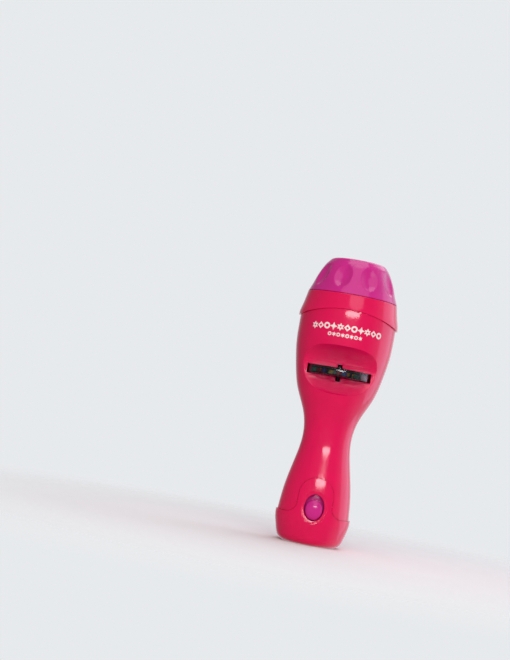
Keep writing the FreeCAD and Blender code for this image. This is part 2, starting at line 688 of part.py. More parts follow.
scallops = []
SCALLOP_COUNT = 9
SCALLOP_TILT = 20.0  # degrees, leans with the ring's side
SCALLOP_BULGE = 4.0  # the dent cutter's thickness either side of its centre
scallop_height = ring_foot + ring_height * 0.475
scallop_radius = S["collar_top_radius"] - ring_drop * 0.295
for number in range(SCALLOP_COUNT):
    dent = doc.addObject("Part::Ellipsoid", "scallop_%d" % number)
    bind(dent, "Radius1", S["scallop_length"] * 0.62)
    bind(dent, "Radius2", SCALLOP_BULGE)
    bind(dent, "Radius3", S["scallop_width"])
    turn = 360.0 / SCALLOP_COUNT * (number + 0.5) - 90.0
    way = FreeCAD.Rotation(FreeCAD.Vector(0, 0, 1), turn)
    lean = FreeCAD.Rotation(FreeCAD.Vector(0, 1, 0), -SCALLOP_TILT)
    dent.Placement.Rotation = way.multiply(lean)
    out = scallop_radius + SCALLOP_BULGE - S["scallop_depth"]
    place(dent, out * math.cos(math.radians(turn)), out * math.sin(math.radians(turn)),
          scallop_height)
    scallops.append(dent)

pin_height = S["lens_height"] - S["lens_edge"] / 2 - 1.7
groove_margin = 6.0
groove_turn = S["focus_half_turn"] + groove_margin
lead = S["focus_travel"] / S["focus_half_turn"] * 360
PIN_TURNS = (30.0, 150.0, 270.0)


def cam_groove(name, start_turn):
    """A helical groove in the ring's bore: it falls as it goes round anticlockwise."""
    depth_radius = S["ring_bore"].value + 0.5
    rise = (lead * (groove_turn * 2) / 360).value
    helix = Part.makeHelix(lead.value, rise, depth_radius, 0, True)
    slope = math.atan2(lead.value, 2 * math.pi * depth_radius)
    reach = S["pin_radius"].value + 0.12
    inner = depth_radius - 1.5
    outer = depth_radius + 0.75
    up = FreeCAD.Vector(0, math.sin(slope), math.cos(slope)) * reach
    corners = [FreeCAD.Vector(inner, 0, 0) - up, FreeCAD.Vector(outer, 0, 0) - up,
               FreeCAD.Vector(outer, 0, 0) + up, FreeCAD.Vector(inner, 0, 0) + up]
    frame = Part.makePolygon(corners + corners[:1])
    item = doc.addObject("Part::Feature", name)
    item.Shape = Part.Wire(helix.Edges).makePipeShell([frame], True, True)
    item.Placement = FreeCAD.Placement(
        FreeCAD.Vector(0, 0, pin_height.value - rise / 2),
        FreeCAD.Rotation(FreeCAD.Vector(0, 0, 1), start_turn + groove_turn.value))
    return item


grooves = [cam_groove("cam_groove_%d" % number, turn) for number, turn in enumerate(PIN_TURNS)]
ring_body = less("ring_body", joined("ring_outer", ring_skin, ring_lip), ring_relief)
ring_stock = joined("ring_stock", ring_body, ring_skirt)
ring_scalloped = less("ring_scalloped", ring_stock, *scallops)
ring_open = less("ring_open", ring_scalloped, ring_hollow)
focus_ring = less("focus_ring", ring_open, *grooves)

# ---------------------------------------------------------------- focus barrel and lens cell

barrel_outer = S["barrel_outer"]
barrel_inner = S["barrel_inner"]
mirror_inner = S["mirror_side"] / (2 * math.sqrt(3))
mirror_reach = ((mirror_inner + S["mirror_thickness"]) * (mirror_inner + S["mirror_thickness"])
                + S["mirror_side"] * S["mirror_side"] / 4).root()
tube_inner = mirror_reach + 0.15
tube_outer = tube_inner + S["tube_wall"]
barrel_plate = shared("barrel_plate", inner_room,
                      rod("barrel_plate_disc", FAR, S["barrel_seat_height"], seat_high))
barrel_tube = less("barrel_tube", rod("barrel_tube_rod", barrel_outer, S["barrel_seat_height"],
                                      S["barrel_top"]),
                   rod("barrel_tube_bore", barrel_inner, seat_high, TALL))
barrel_hole = rod("barrel_hole", tube_outer + S["fit_gap"], 0, TALL)
pin_slots = []
slot_half_width = S["pin_radius"] + 0.1
for number, turn in enumerate(PIN_TURNS):
    reach = S["focus_travel"] + S["pin_radius"] + 0.4
    for part, shape in (("bar", None), ("low", -1), ("high", 1)):
        if shape is None:
            item = doc.addObject("Part::Box", "pin_slot_%d_bar" % number)
            bind(item, "Length", 10)
            bind(item, "Width", slot_half_width * 2)
            bind(item, "Height", S["focus_travel"] * 2 + 0.6)
            base = FreeCAD.Rotation(FreeCAD.Vector(0, 0, 1), turn)
            item.Placement.Rotation = base
            along = (math.cos(math.radians(turn)), math.sin(math.radians(turn)))
            across = (-along[1], along[0])
            start = barrel_inner - 3
            place(item, start * along[0] - slot_half_width * across[0],
                  start * along[1] - slot_half_width * across[1],
                  pin_height - S["focus_travel"] - 0.3)
        else:
            item = doc.addObject("Part::Cylinder", "pin_slot_%d_%s" % (number, part))
            bind(item, "Radius", slot_half_width)
            bind(item, "Height", 10)
            lay = FreeCAD.Rotation(FreeCAD.Vector(0, 1, 0), 90)
            item.Placement.Rotation = FreeCAD.Rotation(FreeCAD.Vector(0, 0, 1), turn).multiply(lay)
            start = barrel_inner - 3
            place(item, start * math.cos(math.radians(turn)), start * math.sin(math.radians(turn)),
                  pin_height + (S["focus_travel"] + 0.3) * shape)
        pin_slots.append(item)
focus_barrel = less("focus_barrel", joined("barrel_stock", barrel_plate, barrel_tube), barrel_hole,
                    *pin_slots)

cell_outer = S["cell_outer"]
LENS_SEAT = 0.9  # how far the cell and the retainer cover the lens's edge
LENS_SLACK = 0.05
cell_low = pin_height - 2.6
lens_low = S["lens_height"] - S["lens_edge"] / 2
lens_high = S["lens_height"] + S["lens_edge"] / 2
retainer_high = lens_high + 2.6
seat_radius = S["lens_radius"] - LENS_SEAT
sleeve_bore = S["lens_radius"] + LENS_SLACK
lens_sleeve = lathe("lens_sleeve", [
    (seat_radius, cell_low), (cell_outer, cell_low), (cell_outer, retainer_high),
    (sleeve_bore, retainer_high), (sleeve_bore, lens_low - 0.02),
    (seat_radius, lens_low - LENS_SEAT / 2)])
pins = []
for number, turn in enumerate(PIN_TURNS):
    item = doc.addObject("Part::Cylinder", "lens_pin_%d" % number)
    bind(item, "Radius", S["pin_radius"])
    start = cell_outer - 0.6
    bind(item, "Height", S["ring_bore"] + 1.0 - start)
    lay = FreeCAD.Rotation(FreeCAD.Vector(0, 1, 0), 90)
    item.Placement.Rotation = FreeCAD.Rotation(FreeCAD.Vector(0, 0, 1), turn).multiply(lay)
    place(item, start * math.cos(math.radians(turn)), start * math.sin(math.radians(turn)),
          pin_height)
    pins.append(item)
lens_cell = joined("lens_cell", lens_sleeve, *pins)

lens_sag = S["lens_sphere"] - (S["lens_sphere"] * S["lens_sphere"]
                               - S["lens_radius"] * S["lens_radius"]).root()
lens_offset = S["lens_sphere"] - lens_sag - S["lens_edge"] / 2
projection_lens = shared("projection_lens",
                         rod("lens_rim", S["lens_radius"], S["lens_height"] - 9,
                             S["lens_height"] + 9),
                         ball("lens_front", S["lens_sphere"], z=S["lens_height"] - lens_offset),
                         ball("lens_back", S["lens_sphere"], z=S["lens_height"] + lens_offset))
lens_retainer = lathe("lens_retainer", [
    (seat_radius, lens_high + LENS_SEAT / 2), (S["lens_radius"], lens_high + LENS_SLACK),
    (S["lens_radius"], retainer_high), (seat_radius, retainer_high)])

# ---------------------------------------------------------------- mirrors and their tube

tube_base = guide_high + 0.3
tube_top = tube_base + S["mirror_length"] + 2.4
guide_front_trim = rod("guide_front_trim", S["scoop_radius"] + S["wall"] + S["fit_gap"], -FAR, FAR,
                       "X", y=-scoop_axis, z=S["slot_height"])
mirror_tube = less("mirror_tube", joined(
    "mirror_tube_stock", rod("mirror_tube_rod", tube_outer, tube_base, tube_top),
    rod("mirror_tube_flange", tube_outer + 3.2, tube_base, tube_base + 1.6)),
    rod("mirror_tube_bore", tube_inner, 0, TALL), guide_front_trim)
mirrors = []
for number, (label, turn) in enumerate((("front", -90.0), ("right", 30.0), ("left", 150.0))):
    item = doc.addObject("Part::Box", "mirror_" + label)
    bind(item, "Length", S["mirror_thickness"])
    bind(item, "Width", S["mirror_side"] - 0.05)
    bind(item, "Height", S["mirror_length"])
    item.Placement.Rotation = FreeCAD.Rotation(FreeCAD.Vector(0, 0, 1), turn)
    along = (math.cos(math.radians(turn)), math.sin(math.radians(turn)))
    half = (S["mirror_side"] - 0.05) / 2
    place(item, mirror_inner * along[0] + half * along[1], mirror_inner * along[1] - half * along[0],
          tube_base + 0.6)
    mirrors.append(item)

# ---------------------------------------------------------------- disc guides

aperture = rod("guide_aperture", S["aperture_radius"], 0, TALL)
guide_back = S["disc_radius"] - S["disc_forward"] + 2.5


def guide_plate(name, low, high):
    slab = block(name + "_slab", (-FAR, FAR), (-FAR, guide_back), (low, high))
    return less(name, shared(name + "_trimmed", slab, inner_room), guide_front_trim)


def pin_groove(name, low, high):
    """The open groove that one end of the disc's pin slides in."""
    way = block(name + "_way", (-S["notch_half_width"], S["notch_half_width"]),
                (-FAR, -S["disc_forward"]), (low, high))
    end = rod(name + "_end", S["notch_half_width"], low, high, y=-S["disc_forward"])
    return joined(name, way, end)


pocket_outer = slot_half + 1.2
pocket_round = rod("pocket_round", slot_half, slot_low, slot_high, y=-S["disc_forward"])
pocket_mouth = block("pocket_mouth", (-slot_half, slot_half), (-FAR, -S["disc_forward"]),
                     (slot_low, slot_high))
rim_round = joined("rim_round",
                   rod("rim_round_rod", pocket_outer, slot_low, slot_high, y=-S["disc_forward"]),
                   block("rim_round_block", (-pocket_outer, pocket_outer),
                         (-FAR, -S["disc_forward"]), (slot_low, slot_high)))
pocket_rim = less("pocket_rim", less("rim_blank", shared("rim_trimmed", rim_round, inner_room),
                                     guide_front_trim), pocket_round, pocket_mouth)
lower_plate = guide_plate("lower_plate", guide_low, slot_low)
upper_plate = guide_plate("upper_plate", slot_high, guide_high)
disc_guide_lower = less("disc_guide_lower", joined("lower_stock", lower_plate, pocket_rim), aperture,
                        pin_groove("pin_groove_low", slot_low - S["notch_depth"], slot_low + 0.01))
disc_guide_upper = less("disc_guide_upper", upper_plate, aperture,
                        pin_groove("pin_groove_high", slot_high - 0.01,
                                   slot_high + S["notch_depth"]))

# ---------------------------------------------------------------- bead disc

disc_y = -S["disc_forward"]
disc_low = S["slot_height"] - S["disc_thickness"] / 2
disc_high = S["slot_height"] + S["disc_thickness"] / 2
axle_half = S["slot_gap"] / 2 + S["notch_depth"] - 0.3
disc_axle = rod("disc_axle", S["axle_radius"], S["slot_height"] - axle_half,
                S["slot_height"] + axle_half, y=disc_y)
hub_bore = S["axle_radius"] + 0.06
hub_outer = hub_bore + 0.9
CAPSULE_EDGE = 0.35
LID_LIP = 0.6
lid_base = disc_high - S["capsule_skin"]
lid_low = lid_base + 0.02
rim_inner = S["disc_radius"] - S["capsule_wall"]
rim_edge = S["disc_radius"] - CAPSULE_EDGE
floor_top = disc_low + S["capsule_skin"]
capsule_base = lathe("capsule_base", [
    (hub_bore, disc_low), (rim_edge, disc_low), (S["disc_radius"], disc_low + CAPSULE_EDGE),
    (S["disc_radius"], lid_base), (rim_inner, lid_base), (rim_inner, floor_top),
    (hub_outer, floor_top), (hub_outer, lid_base), (hub_bore, lid_base)])
lip_outer = rim_inner - 0.05
lip_foot = lid_base - 0.9
capsule_lid = lathe("capsule_lid", [
    (hub_bore, lid_low), (hub_outer + 0.05, lid_low), (lip_outer - LID_LIP, lid_low),
    (lip_outer - LID_LIP, lip_foot), (lip_outer, lip_foot), (lip_outer, lid_low),
    (S["disc_radius"], lid_low), (S["disc_radius"], disc_high - CAPSULE_EDGE),
    (rim_edge, disc_high), (hub_bore, disc_high)])
for item in (capsule_base, capsule_lid):
    place(item, 0, disc_y, 0)

bead_rest = floor_top + 0.05
BEAD_HEIGHT = 1.5
BEAD_RADIUS = 1.45


def star_points(radius, points):
    corners = []
    for index in range(points * 2):
        reach = radius if index % 2 == 0 else radius * 0.45
        angle = math.pi * index / points
        corners.append((reach * math.cos(angle), reach * math.sin(angle)))
    return corners


BEAD_OUTLINES = {
    "beads_yellow": star_points(BEAD_RADIUS, 5),
    "beads_blue": [(1.1, -1.1), (1.1, 1.1), (-1.1, 1.1), (-1.1, -1.1)],
    "beads_red": [(0.0, -1.4), (1.35, 0.1), (1.25, 0.9), (0.65, 1.2), (0.0, 0.75), (-0.65, 1.2),
                  (-1.25, 0.9), (-1.35, 0.1)],
}
BEAD_RINGS = [(0.32, 6), (0.56, 9), (0.80, 12)]  # share of the disc's radius, and beads on that ring
BEAD_ORDER = ("beads_red", "beads_yellow", "beads_blue", "beads_green")


def bead_seats():
    """Where each bead lies, colour by colour."""
    seats = {name: [] for name in BEAD_ORDER}
    number = 0
    for share, count in BEAD_RINGS:
        for index in range(count):
            turn = 360.0 / count * index + 17.0 * number
            reach = S["disc_radius"] * share
            angle = 360.0 / count * index + share * 90
            seats[BEAD_ORDER[number % len(BEAD_ORDER)]].append((reach, angle, turn))
            number = number + 1
    return seats


def bead_group(name, seats):
    """All beads of one colour, as separate solids."""
    items = []
    for number, (reach, angle, turn) in enumerate(seats):
        way = (math.cos(math.radians(angle)), math.sin(math.radians(angle)))
        bead_name = "%s_%d" % (name, number)
        if name == "beads_green":
            item = less(bead_name, rod(bead_name + "_disc", BEAD_RADIUS, 0, BEAD_HEIGHT),
                        rod(bead_name + "_hole", BEAD_RADIUS * 0.5, -1, BEAD_HEIGHT + 1))
        else:
            item = pad(bead_name, "XY_Plane", BEAD_OUTLINES[name], 0, BEAD_HEIGHT)
        item.Placement.Rotation = FreeCAD.Rotation(FreeCAD.Vector(0, 0, 1), turn)
        place(item, reach * way[0], reach * way[1] + disc_y, bead_rest)
        items.append(item)
    return joined(name, *items)


bead_nodes = [bead_group(name, seats) for name, seats in bead_seats().items()]

# ---------------------------------------------------------------- power cells and tray

TRAY_END = 1.2
TRAY_PLATE = 1.0
POLE_HEIGHT = 1.0
POLE_RADIUS = 1.9
CONTACT_HALF = 3.4
DIMPLE_RADIUS = 1.6
SPRING_WIRE = 0.3
SPRING_RADIUS = 2.6
TOUCH = 0.03  # the gap left between a contact and what it presses
tray_floor = S["cell_base_height"] - S["contact_depth_low"]
tray_low = tray_floor - TRAY_END
cell_top = S["cell_base_height"] + S["cell_length"]
tray_ceiling = cell_top + S["contact_depth_high"]
tray_top = tray_ceiling + TRAY_END
cell_y = S["cell_back"]
tray_face = cell_y - S["cell_radius"] - 0.45
tray_half = S["cell_spread"] + 4.28
tray_back = tray_face - TRAY_PLATE
tray_plate = block("tray_plate", (-tray_half, tray_half), (tray_back, tray_face),
                   (tray_low, tray_top))
tray_end_low = shared("tray_end_low",
                      rod("tray_end_low_disc", 13.4, tray_low, tray_floor),
                      block("tray_end_low_trim", (-FAR, FAR), (tray_back, 9.5), (0, TALL)))
tray_end_high = shared("tray_end_high",
                       rod("tray_end_high_disc", FAR, tray_ceiling, tray_top),
                       block("tray_end_high_trim", (-11.2, 11.2), (tray_back, 5.4), (0, TALL)))
board_low = tray_top + 1.4
board_posts = [rod("board_post_%d" % side, 1.2, tray_top - 0.2, board_low, x=6.0 * side, y=0)
               for side in (-1, 1)]
tray_slots = [block("tray_slot_%d" % side, (S["cell_spread"] * side - 1.3, S["cell_spread"] * side + 1.3),
                    (-FAR, tray_face + 0.2), (tray_ceiling - 0.6, tray_ceiling + 0.05))
              for side in (-1, 1)]
tray_room = body_curve("tray_room", S["wall"] + S["air_gap"])
tray_stock = joined("tray_stock", tray_plate, tray_end_low, tray_end_high, *board_posts)
battery_tray = less("battery_tray", shared("tray_trimmed", tray_stock, tray_room), *tray_slots)


def power_cell(name, side, up):
    """A cell standing on end, its raised pole up or down."""
    x = S["cell_spread"] * side
    if up:
        can = (S["cell_base_height"], cell_top - POLE_HEIGHT)
        nub = (cell_top - POLE_HEIGHT, cell_top)
    else:
        can = (S["cell_base_height"] + POLE_HEIGHT, cell_top)
        nub = (S["cell_base_height"], S["cell_base_height"] + POLE_HEIGHT)
    return joined(name, rod(name + "_can", S["cell_radius"], *can, x=x, y=cell_y),
                  rod(name + "_pole", POLE_RADIUS, *nub, x=x, y=cell_y))


cell_left = power_cell("cell_left", -1, True)
cell_right = power_cell("cell_right", 1, False)

sheet_low = tray_ceiling - S["contact_sheet"]


def top_contact(name, side, dimple):
    """A contact under the tray's top, with a solder tab through the tray's face."""
    x = S["cell_spread"] * side
    plate = block(name + "_plate", (x - CONTACT_HALF, x + CONTACT_HALF),
                  (tray_face + 0.6, cell_y + CONTACT_HALF), (sheet_low, tray_ceiling))
    tab = block(name + "_tab", (x - 1.0, x + 1.0), (tray_face - 3.0, tray_face + 0.8),
                (sheet_low, tray_ceiling))
    pieces = [plate, tab]
    if dimple:
        pieces.append(rod(name + "_dimple", DIMPLE_RADIUS, cell_top + TOUCH, sheet_low + 0.1,
                          x=x, y=cell_y))
    return joined(name, *pieces)


positive_contact = top_contact("positive_contact", -1, True)
negative_contact = top_contact("negative_contact", 1, False)
bridge_top = tray_floor + S["contact_sheet"]
bridge_contact = joined("bridge_contact",
                        block("bridge_plate", (-S["cell_spread"] - CONTACT_HALF,
                                               S["cell_spread"] + CONTACT_HALF),
                              (cell_y - 3.2, cell_y + 3.2), (tray_floor, bridge_top)),
                        rod("bridge_dimple", DIMPLE_RADIUS, bridge_top - 0.1,
                            S["cell_base_height"] - TOUCH, x=S["cell_spread"], y=cell_y))
bridge_spring = coil("bridge_spring", SPRING_WIRE, SPRING_RADIUS, bridge_top + TOUCH,
                     S["cell_base_height"] - TOUCH, 3.0, -S["cell_spread"], cell_y)
negative_spring = coil("negative_spring", SPRING_WIRE, SPRING_RADIUS, cell_top + TOUCH,
                       sheet_low - TOUCH, 2.5, S["cell_spread"], cell_y)

# ---------------------------------------------------------------- lamp, board, light tube

board_high = board_low + S["board_thickness"]
lead_gap = 1.27
LEAD_RADIUS = 0.25
RESISTOR_RADIUS = 1.1
board_blank = shared("board_blank", rod("board_disc", S["board_radius"], board_low, board_high),
                     block("board_flat", (-FAR, FAR), (-FAR, nut_post_front - 0.5), (0, TALL)))
led_board = less("led_board", board_blank,
                 *[rod("board_hole_%d" % side, 0.45, 0, TALL, x=lead_gap * side)
                   for side in (-1, 1)])
lamp_tip = board_high + S["lamp_height"]
led = joined("led", rod("lamp_can", S["lamp_radius"], board_high, lamp_tip - S["lamp_radius"]),
             ball("lamp_dome", S["lamp_radius"], z=lamp_tip - S["lamp_radius"]),
             rod("lamp_flange", S["lamp_radius"] + 0.4, board_high, board_high + 1.0))
led_leads = joined("led_leads", *[rod("lamp_lead_%d" % side, LEAD_RADIUS, board_low - 1.2, board_high,
                                      x=lead_gap * side) for side in (-1, 1)])
resistor_x = S["board_radius"] - RESISTOR_RADIUS * 2
resistor_z = board_high + RESISTOR_RADIUS + 0.2
leg_reach = 4.2
resistor = joined("resistor",
                  rod("resistor_can", RESISTOR_RADIUS, -3, 3, "Y", x=resistor_x, z=resistor_z),
                  rod("resistor_lead", LEAD_RADIUS, -leg_reach, leg_reach, "Y",
                      x=resistor_x, z=resistor_z),
                  *[rod("resistor_leg_%d" % side, LEAD_RADIUS + 0.05, board_high, resistor_z + 0.3,
                        x=resistor_x, y=leg_reach * side) for side in (-1, 1)])

tube_flange_high = guide_low - 0.1
seat_z = tube_flange_high - 3.6
light_bottom = board_high + 0.1
throat_inner = S["lamp_radius"] + 0.7
CONE_WALL = 1.3
cone_outer = S["condenser_radius"] + CONE_WALL
cone_inner = S["condenser_radius"] + 0.1
flange_outer = S["condenser_radius"] + 5.5
tube_flange_low = tube_flange_high - CONE_WALL
light_cone = lathe("light_cone", [
    (throat_inner, light_bottom), (throat_inner + CONE_WALL, light_bottom),
    (throat_inner + CONE_WALL + 0.1, light_bottom + 2.2), (cone_outer, seat_z),
    (cone_outer, tube_flange_low), (flange_outer, tube_flange_low),
    (flange_outer, tube_flange_high), (cone_inner, tube_flange_high), (cone_inner, seat_z),
    (S["condenser_radius"] - LENS_SEAT, seat_z), (throat_inner, light_bottom + 2.4)])
light_tube = less("light_tube", light_cone, guide_front_trim)
condenser_sag = S["condenser_sphere"] - (
    S["condenser_sphere"] * S["condenser_sphere"]
    - S["condenser_radius"] * S["condenser_radius"]).root()
condenser_flat = seat_z + 0.05
condenser_lens = shared(
    "condenser_lens",
    rod("condenser_rim", S["condenser_radius"], condenser_flat, condenser_flat + 8),
    ball("condenser_dome", S["condenser_sphere"],
         z=condenser_flat + S["condenser_edge"] + condenser_sag - S["condenser_sphere"]))

# ---------------------------------------------------------------- slide switch

knob_height = (S["well_height"] - S["well_half_height"] + S["knob_half_height"] + 0.45)
knob_flange_back = -(S["switch_front"] + 1.0)
knob_flange_front = knob_flange_back - 1.0
knob_flange_half = S["well_half_height"] + S["slide_travel"] / 2 + 0.35
knob_tip = S["palm_radius"] + S["cap_step"] + 0.55
KNOB_CROWN = 2.6
knob_shoulder = KNOB_CROWN - knob_tip
knob_dome = doc.addObject("Part::Ellipsoid", "knob_dome")
bind(knob_dome, "Radius1", S["knob_half_height"])
bind(knob_dome, "Radius2", S["knob_half_width"])
bind(knob_dome, "Radius3", KNOB_CROWN)
place(knob_dome, 0, knob_shoulder, knob_height)
knob_stem = oval_bar("knob_stem", S["knob_half_width"], S["knob_half_height"], knob_flange_back - 0.2,
                     knob_shoulder, knob_height)
knob_flange = block("knob_flange", (-S["well_half_width"] - 0.25, S["well_half_width"] + 0.25),
                    (knob_flange_front, knob_flange_back),
                    (knob_height - knob_flange_half, knob_height + knob_flange_half))
power_knob = joined("power_knob", knob_dome, knob_stem, knob_flange)

frame_front = -S["switch_front"]
frame_back = frame_front + S["switch_depth"]
half_w = S["switch_half_width"]
frame_low = S["well_height"] - S["switch_half_height"]
frame_high = S["well_height"] + S["switch_half_height"]
lever_half = 1.5
window_low = knob_height - lever_half - 0.3
window_high = knob_height + S["slide_travel"] + lever_half + 0.3
FRAME_SHEET = 0.5
WIPER_SHEET = 0.3
PIN_HALF = 0.45
frame_inside = frame_front + FRAME_SHEET
frame_can = less("frame_can", block("frame_block", (-half_w, half_w), (frame_front, frame_back),
                                    (frame_low, frame_high)),
                 block("frame_room", (-half_w + FRAME_SHEET, half_w - FRAME_SHEET), (frame_inside, 0),
                       (frame_low + FRAME_SHEET, frame_high - FRAME_SHEET)))
frame_ears = block("frame_ears", (-post_side - 2, post_side + 2), (frame_front, frame_inside),
                   (S["well_height"] - 2.4, S["well_height"] + 2.4))
ear_holes = [rod("ear_hole_%d" % side, 1.1, -FAR, 0, "Y", x=post_side * side, z=S["well_height"])
             for side in (-1, 1)]
frame_window = block("frame_window", (-1.5, 1.5), (-FAR, frame_front + 0.8),
                     (window_low, window_high))
switch_frame = less("switch_frame", joined("frame_stock", frame_can, frame_ears), frame_window,
                    *ear_holes)
base_front = frame_back - 1.2
base_back = frame_back + 0.3
pin_xs = (-2.0, 2.0)
PIN_STEP = 3.4
base_inset = FRAME_SHEET + 0.05
switch_base_slab = block("switch_base_slab", (-half_w + base_inset, half_w - base_inset),
                         (base_front, base_back), (frame_low + base_inset, frame_high - base_inset))
terminal_rods = []
terminal_holes = []
for column, x in enumerate(pin_xs):
    for row in (-1, 0, 1):
        name = "terminal_%d_%d" % (column, row + 1)
        height = S["well_height"] + PIN_STEP * row
        terminal_rods.append(block(name, (x - PIN_HALF, x + PIN_HALF),
                                   (base_front - 0.4, base_back + 2.2),
                                   (height - PIN_HALF, height + PIN_HALF)))
        hole = PIN_HALF + 0.02
        terminal_holes.append(block(name + "_hole", (x - hole, x + hole), (-FAR, 0),
                                    (height - hole, height + hole)))
switch_base = less("switch_base", switch_base_slab, *terminal_holes)
switch_terminals = joined("switch_terminals", *terminal_rods)
wiper_front = frame_front + 1.9
switch_actuator = joined("switch_actuator",
                         block("lever", (-1.1, 1.1), (knob_flange_back, wiper_front),
                               (knob_height - lever_half, knob_height + lever_half)),
                         block("lever_foot", (-2.6, 2.6), (frame_front + 0.8, wiper_front),
                               (knob_height - lever_half * 2, knob_height + lever_half * 2)))
switch_wiper = joined("switch_wiper", *[
    block("wiper_%d" % column, (x - 0.5, x + 0.5), (wiper_front, wiper_front + WIPER_SHEET),
          (knob_height - 2.4, knob_height + 2.4)) for column, x in enumerate(pin_xs)])
switch_screws = joined("switch_screws", *[
    joined("switch_screw_%d" % side,
           rod("switch_screw_head_%d" % side, POST_RADIUS + 0.1, frame_inside,
               frame_inside + EAR_SCREW_RADIUS, "Y", x=post_side * side, z=S["well_height"]),
           rod("switch_screw_shank_%d" % side, EAR_SCREW_RADIUS, frame_inside - 2.6,
               frame_inside + 0.1, "Y", x=post_side * side, z=S["well_height"]))
    for side in (-1, 1)])

# ---------------------------------------------------------------- wires

pin_end = base_back + 1.4
pin_top = S["well_height"] + PIN_STEP + PIN_HALF
tab_y = tray_face - 2.2
neck_y = tab_y - 1.0
BEND = 8  # radius of the wires' bends
wire_black = tube_along("wire_black", S["wire_radius"], [
    (S["cell_spread"], tab_y, sheet_low), (S["cell_spread"], tab_y - 0.4, S["waist_height"]),
    (3.6, neck_y, S["taper_height"]), (pin_xs[1], pin_end, S["grip_height"] + 3),
    (pin_xs[1], pin_end, pin_top)], BEND)
wire_blue = tube_along("wire_blue", S["wire_radius"], [
    (pin_xs[0], pin_end, pin_top), (pin_xs[0], pin_end, S["grip_height"] + 4),
    (-1.8, neck_y, S["taper_height"]), (-1.2, neck_y - 0.4, S["waist_height"]),
    (-0.6, -S["board_radius"] + 1.6, board_low - 3), (-0.6, -S["board_radius"] + 1.6, board_low)], BEND)
wire_red = rod("wire_red", S["wire_radius"], tray_ceiling, board_low, x=-S["cell_spread"] + 0.4,
               y=tab_y + 0.3)

# ---------------------------------------------------------------- write the pieces

NODES = [base_cap, front_shell, rear_shell, shell_screws, collar_ring, focus_ring, focus_barrel,
         lens_cell, projection_lens, lens_retainer, mirror_tube] + mirrors + [
         disc_guide_lower, disc_guide_upper, disc_axle, capsule_base, capsule_lid] + bead_nodes + [
         condenser_lens, light_tube, led, led_leads, led_board, resistor, battery_tray, cell_left,
         cell_right, positive_contact, negative_contact, negative_spring, bridge_contact,
         bridge_spring, battery_door, door_screw, power_knob, switch_frame, switch_base,
         switch_terminals, switch_actuator, switch_wiper, switch_screws, wire_black, wire_blue,
         wire_red]


def check_document():
    """Stop if any object failed, or a piece is empty or invalid."""
    for item in doc.Objects:
        if "Invalid" in item.State or "Error" in item.State:
            raise RuntimeError("failed: %s %s" % (item.Name, item.State))
    for item in NODES:
        if item.Shape.isNull() or not item.Shape.isValid() or not item.Shape.Solids:
            raise RuntimeError("bad shape: %s" % item.Name)


def write_pieces():
    os.makedirs("parts", exist_ok=True)
    for item in NODES:
        item.Label = item.Name
        item.Shape.exportStep(os.path.join("parts", item.Label + ".step"))


doc.recompute()
check_document()
write_pieces()
for item in NODES:
    print("%-20s solids %d  volume %.1f" % (item.Label, len(item.Shape.Solids), item.Shape.Volume))
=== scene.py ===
"""Looks of the torch-shaped kaleidoscope projector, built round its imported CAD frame. Metres."""

import math

import bmesh
import bpy
from bpy.props import FloatProperty, FloatVectorProperty, IntProperty, PointerProperty
from mathutils import Matrix, Vector
from mathutils.bvhtree import BVHTree


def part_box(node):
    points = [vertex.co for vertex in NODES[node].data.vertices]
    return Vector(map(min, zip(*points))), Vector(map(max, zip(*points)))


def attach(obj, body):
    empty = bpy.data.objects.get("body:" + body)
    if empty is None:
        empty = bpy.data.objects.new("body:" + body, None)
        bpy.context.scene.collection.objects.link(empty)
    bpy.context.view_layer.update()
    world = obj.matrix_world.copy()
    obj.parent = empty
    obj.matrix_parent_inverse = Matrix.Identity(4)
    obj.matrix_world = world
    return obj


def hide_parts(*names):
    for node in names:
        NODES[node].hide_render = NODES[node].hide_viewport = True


bl_info = {
    "name": "Kaleidoscope Projector",
    "version": (1, 0, 0),
    "blender": (4, 5, 0),
    "location": "View3D > Sidebar > Kaleidoscope",
    "description": "Finishes the pieces of a torch-shaped kaleidoscope projector and its studio",
    "category": "Object",
}

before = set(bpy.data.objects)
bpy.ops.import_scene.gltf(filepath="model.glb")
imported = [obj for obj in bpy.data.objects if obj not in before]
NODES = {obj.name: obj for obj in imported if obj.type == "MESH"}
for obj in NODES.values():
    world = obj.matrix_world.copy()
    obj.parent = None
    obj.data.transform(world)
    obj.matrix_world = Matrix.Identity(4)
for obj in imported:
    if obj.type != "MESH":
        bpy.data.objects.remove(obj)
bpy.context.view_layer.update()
MM = 0.001
FULL_TURN = 2 * math.pi


# ---- settings

class PlasticSettings(bpy.types.PropertyGroup):
    """Colours and gloss of the moulded plastics."""
    pink: FloatVectorProperty(
        name="Pink", description="Colour of the torch's housing", subtype="COLOR",
        default=(0.72, 0.0045, 0.078), min=0, max=1)
    purple: FloatVectorProperty(
        name="Purple", description="Colour of the focus ring and the slide button", subtype="COLOR",
        default=(0.56, 0.018, 0.21), min=0, max=1)
    print_ink: FloatVectorProperty(
        name="Ornament", description="Colour of the printed ornament", subtype="COLOR",
        default=(0.86, 0.70, 0.66), min=0, max=1)
    gloss_roughness: FloatProperty(
        name="Roughness", description="Roughness of the polished mouldings", default=0.12, min=0.02,
        max=1, subtype="FACTOR")
    edge_radius: FloatProperty(
        name="Edge radius", description="Radius that breaks the edges of moulded pieces",
        default=0.2 * MM, min=0.02 * MM, max=1 * MM, unit="LENGTH", precision=5)


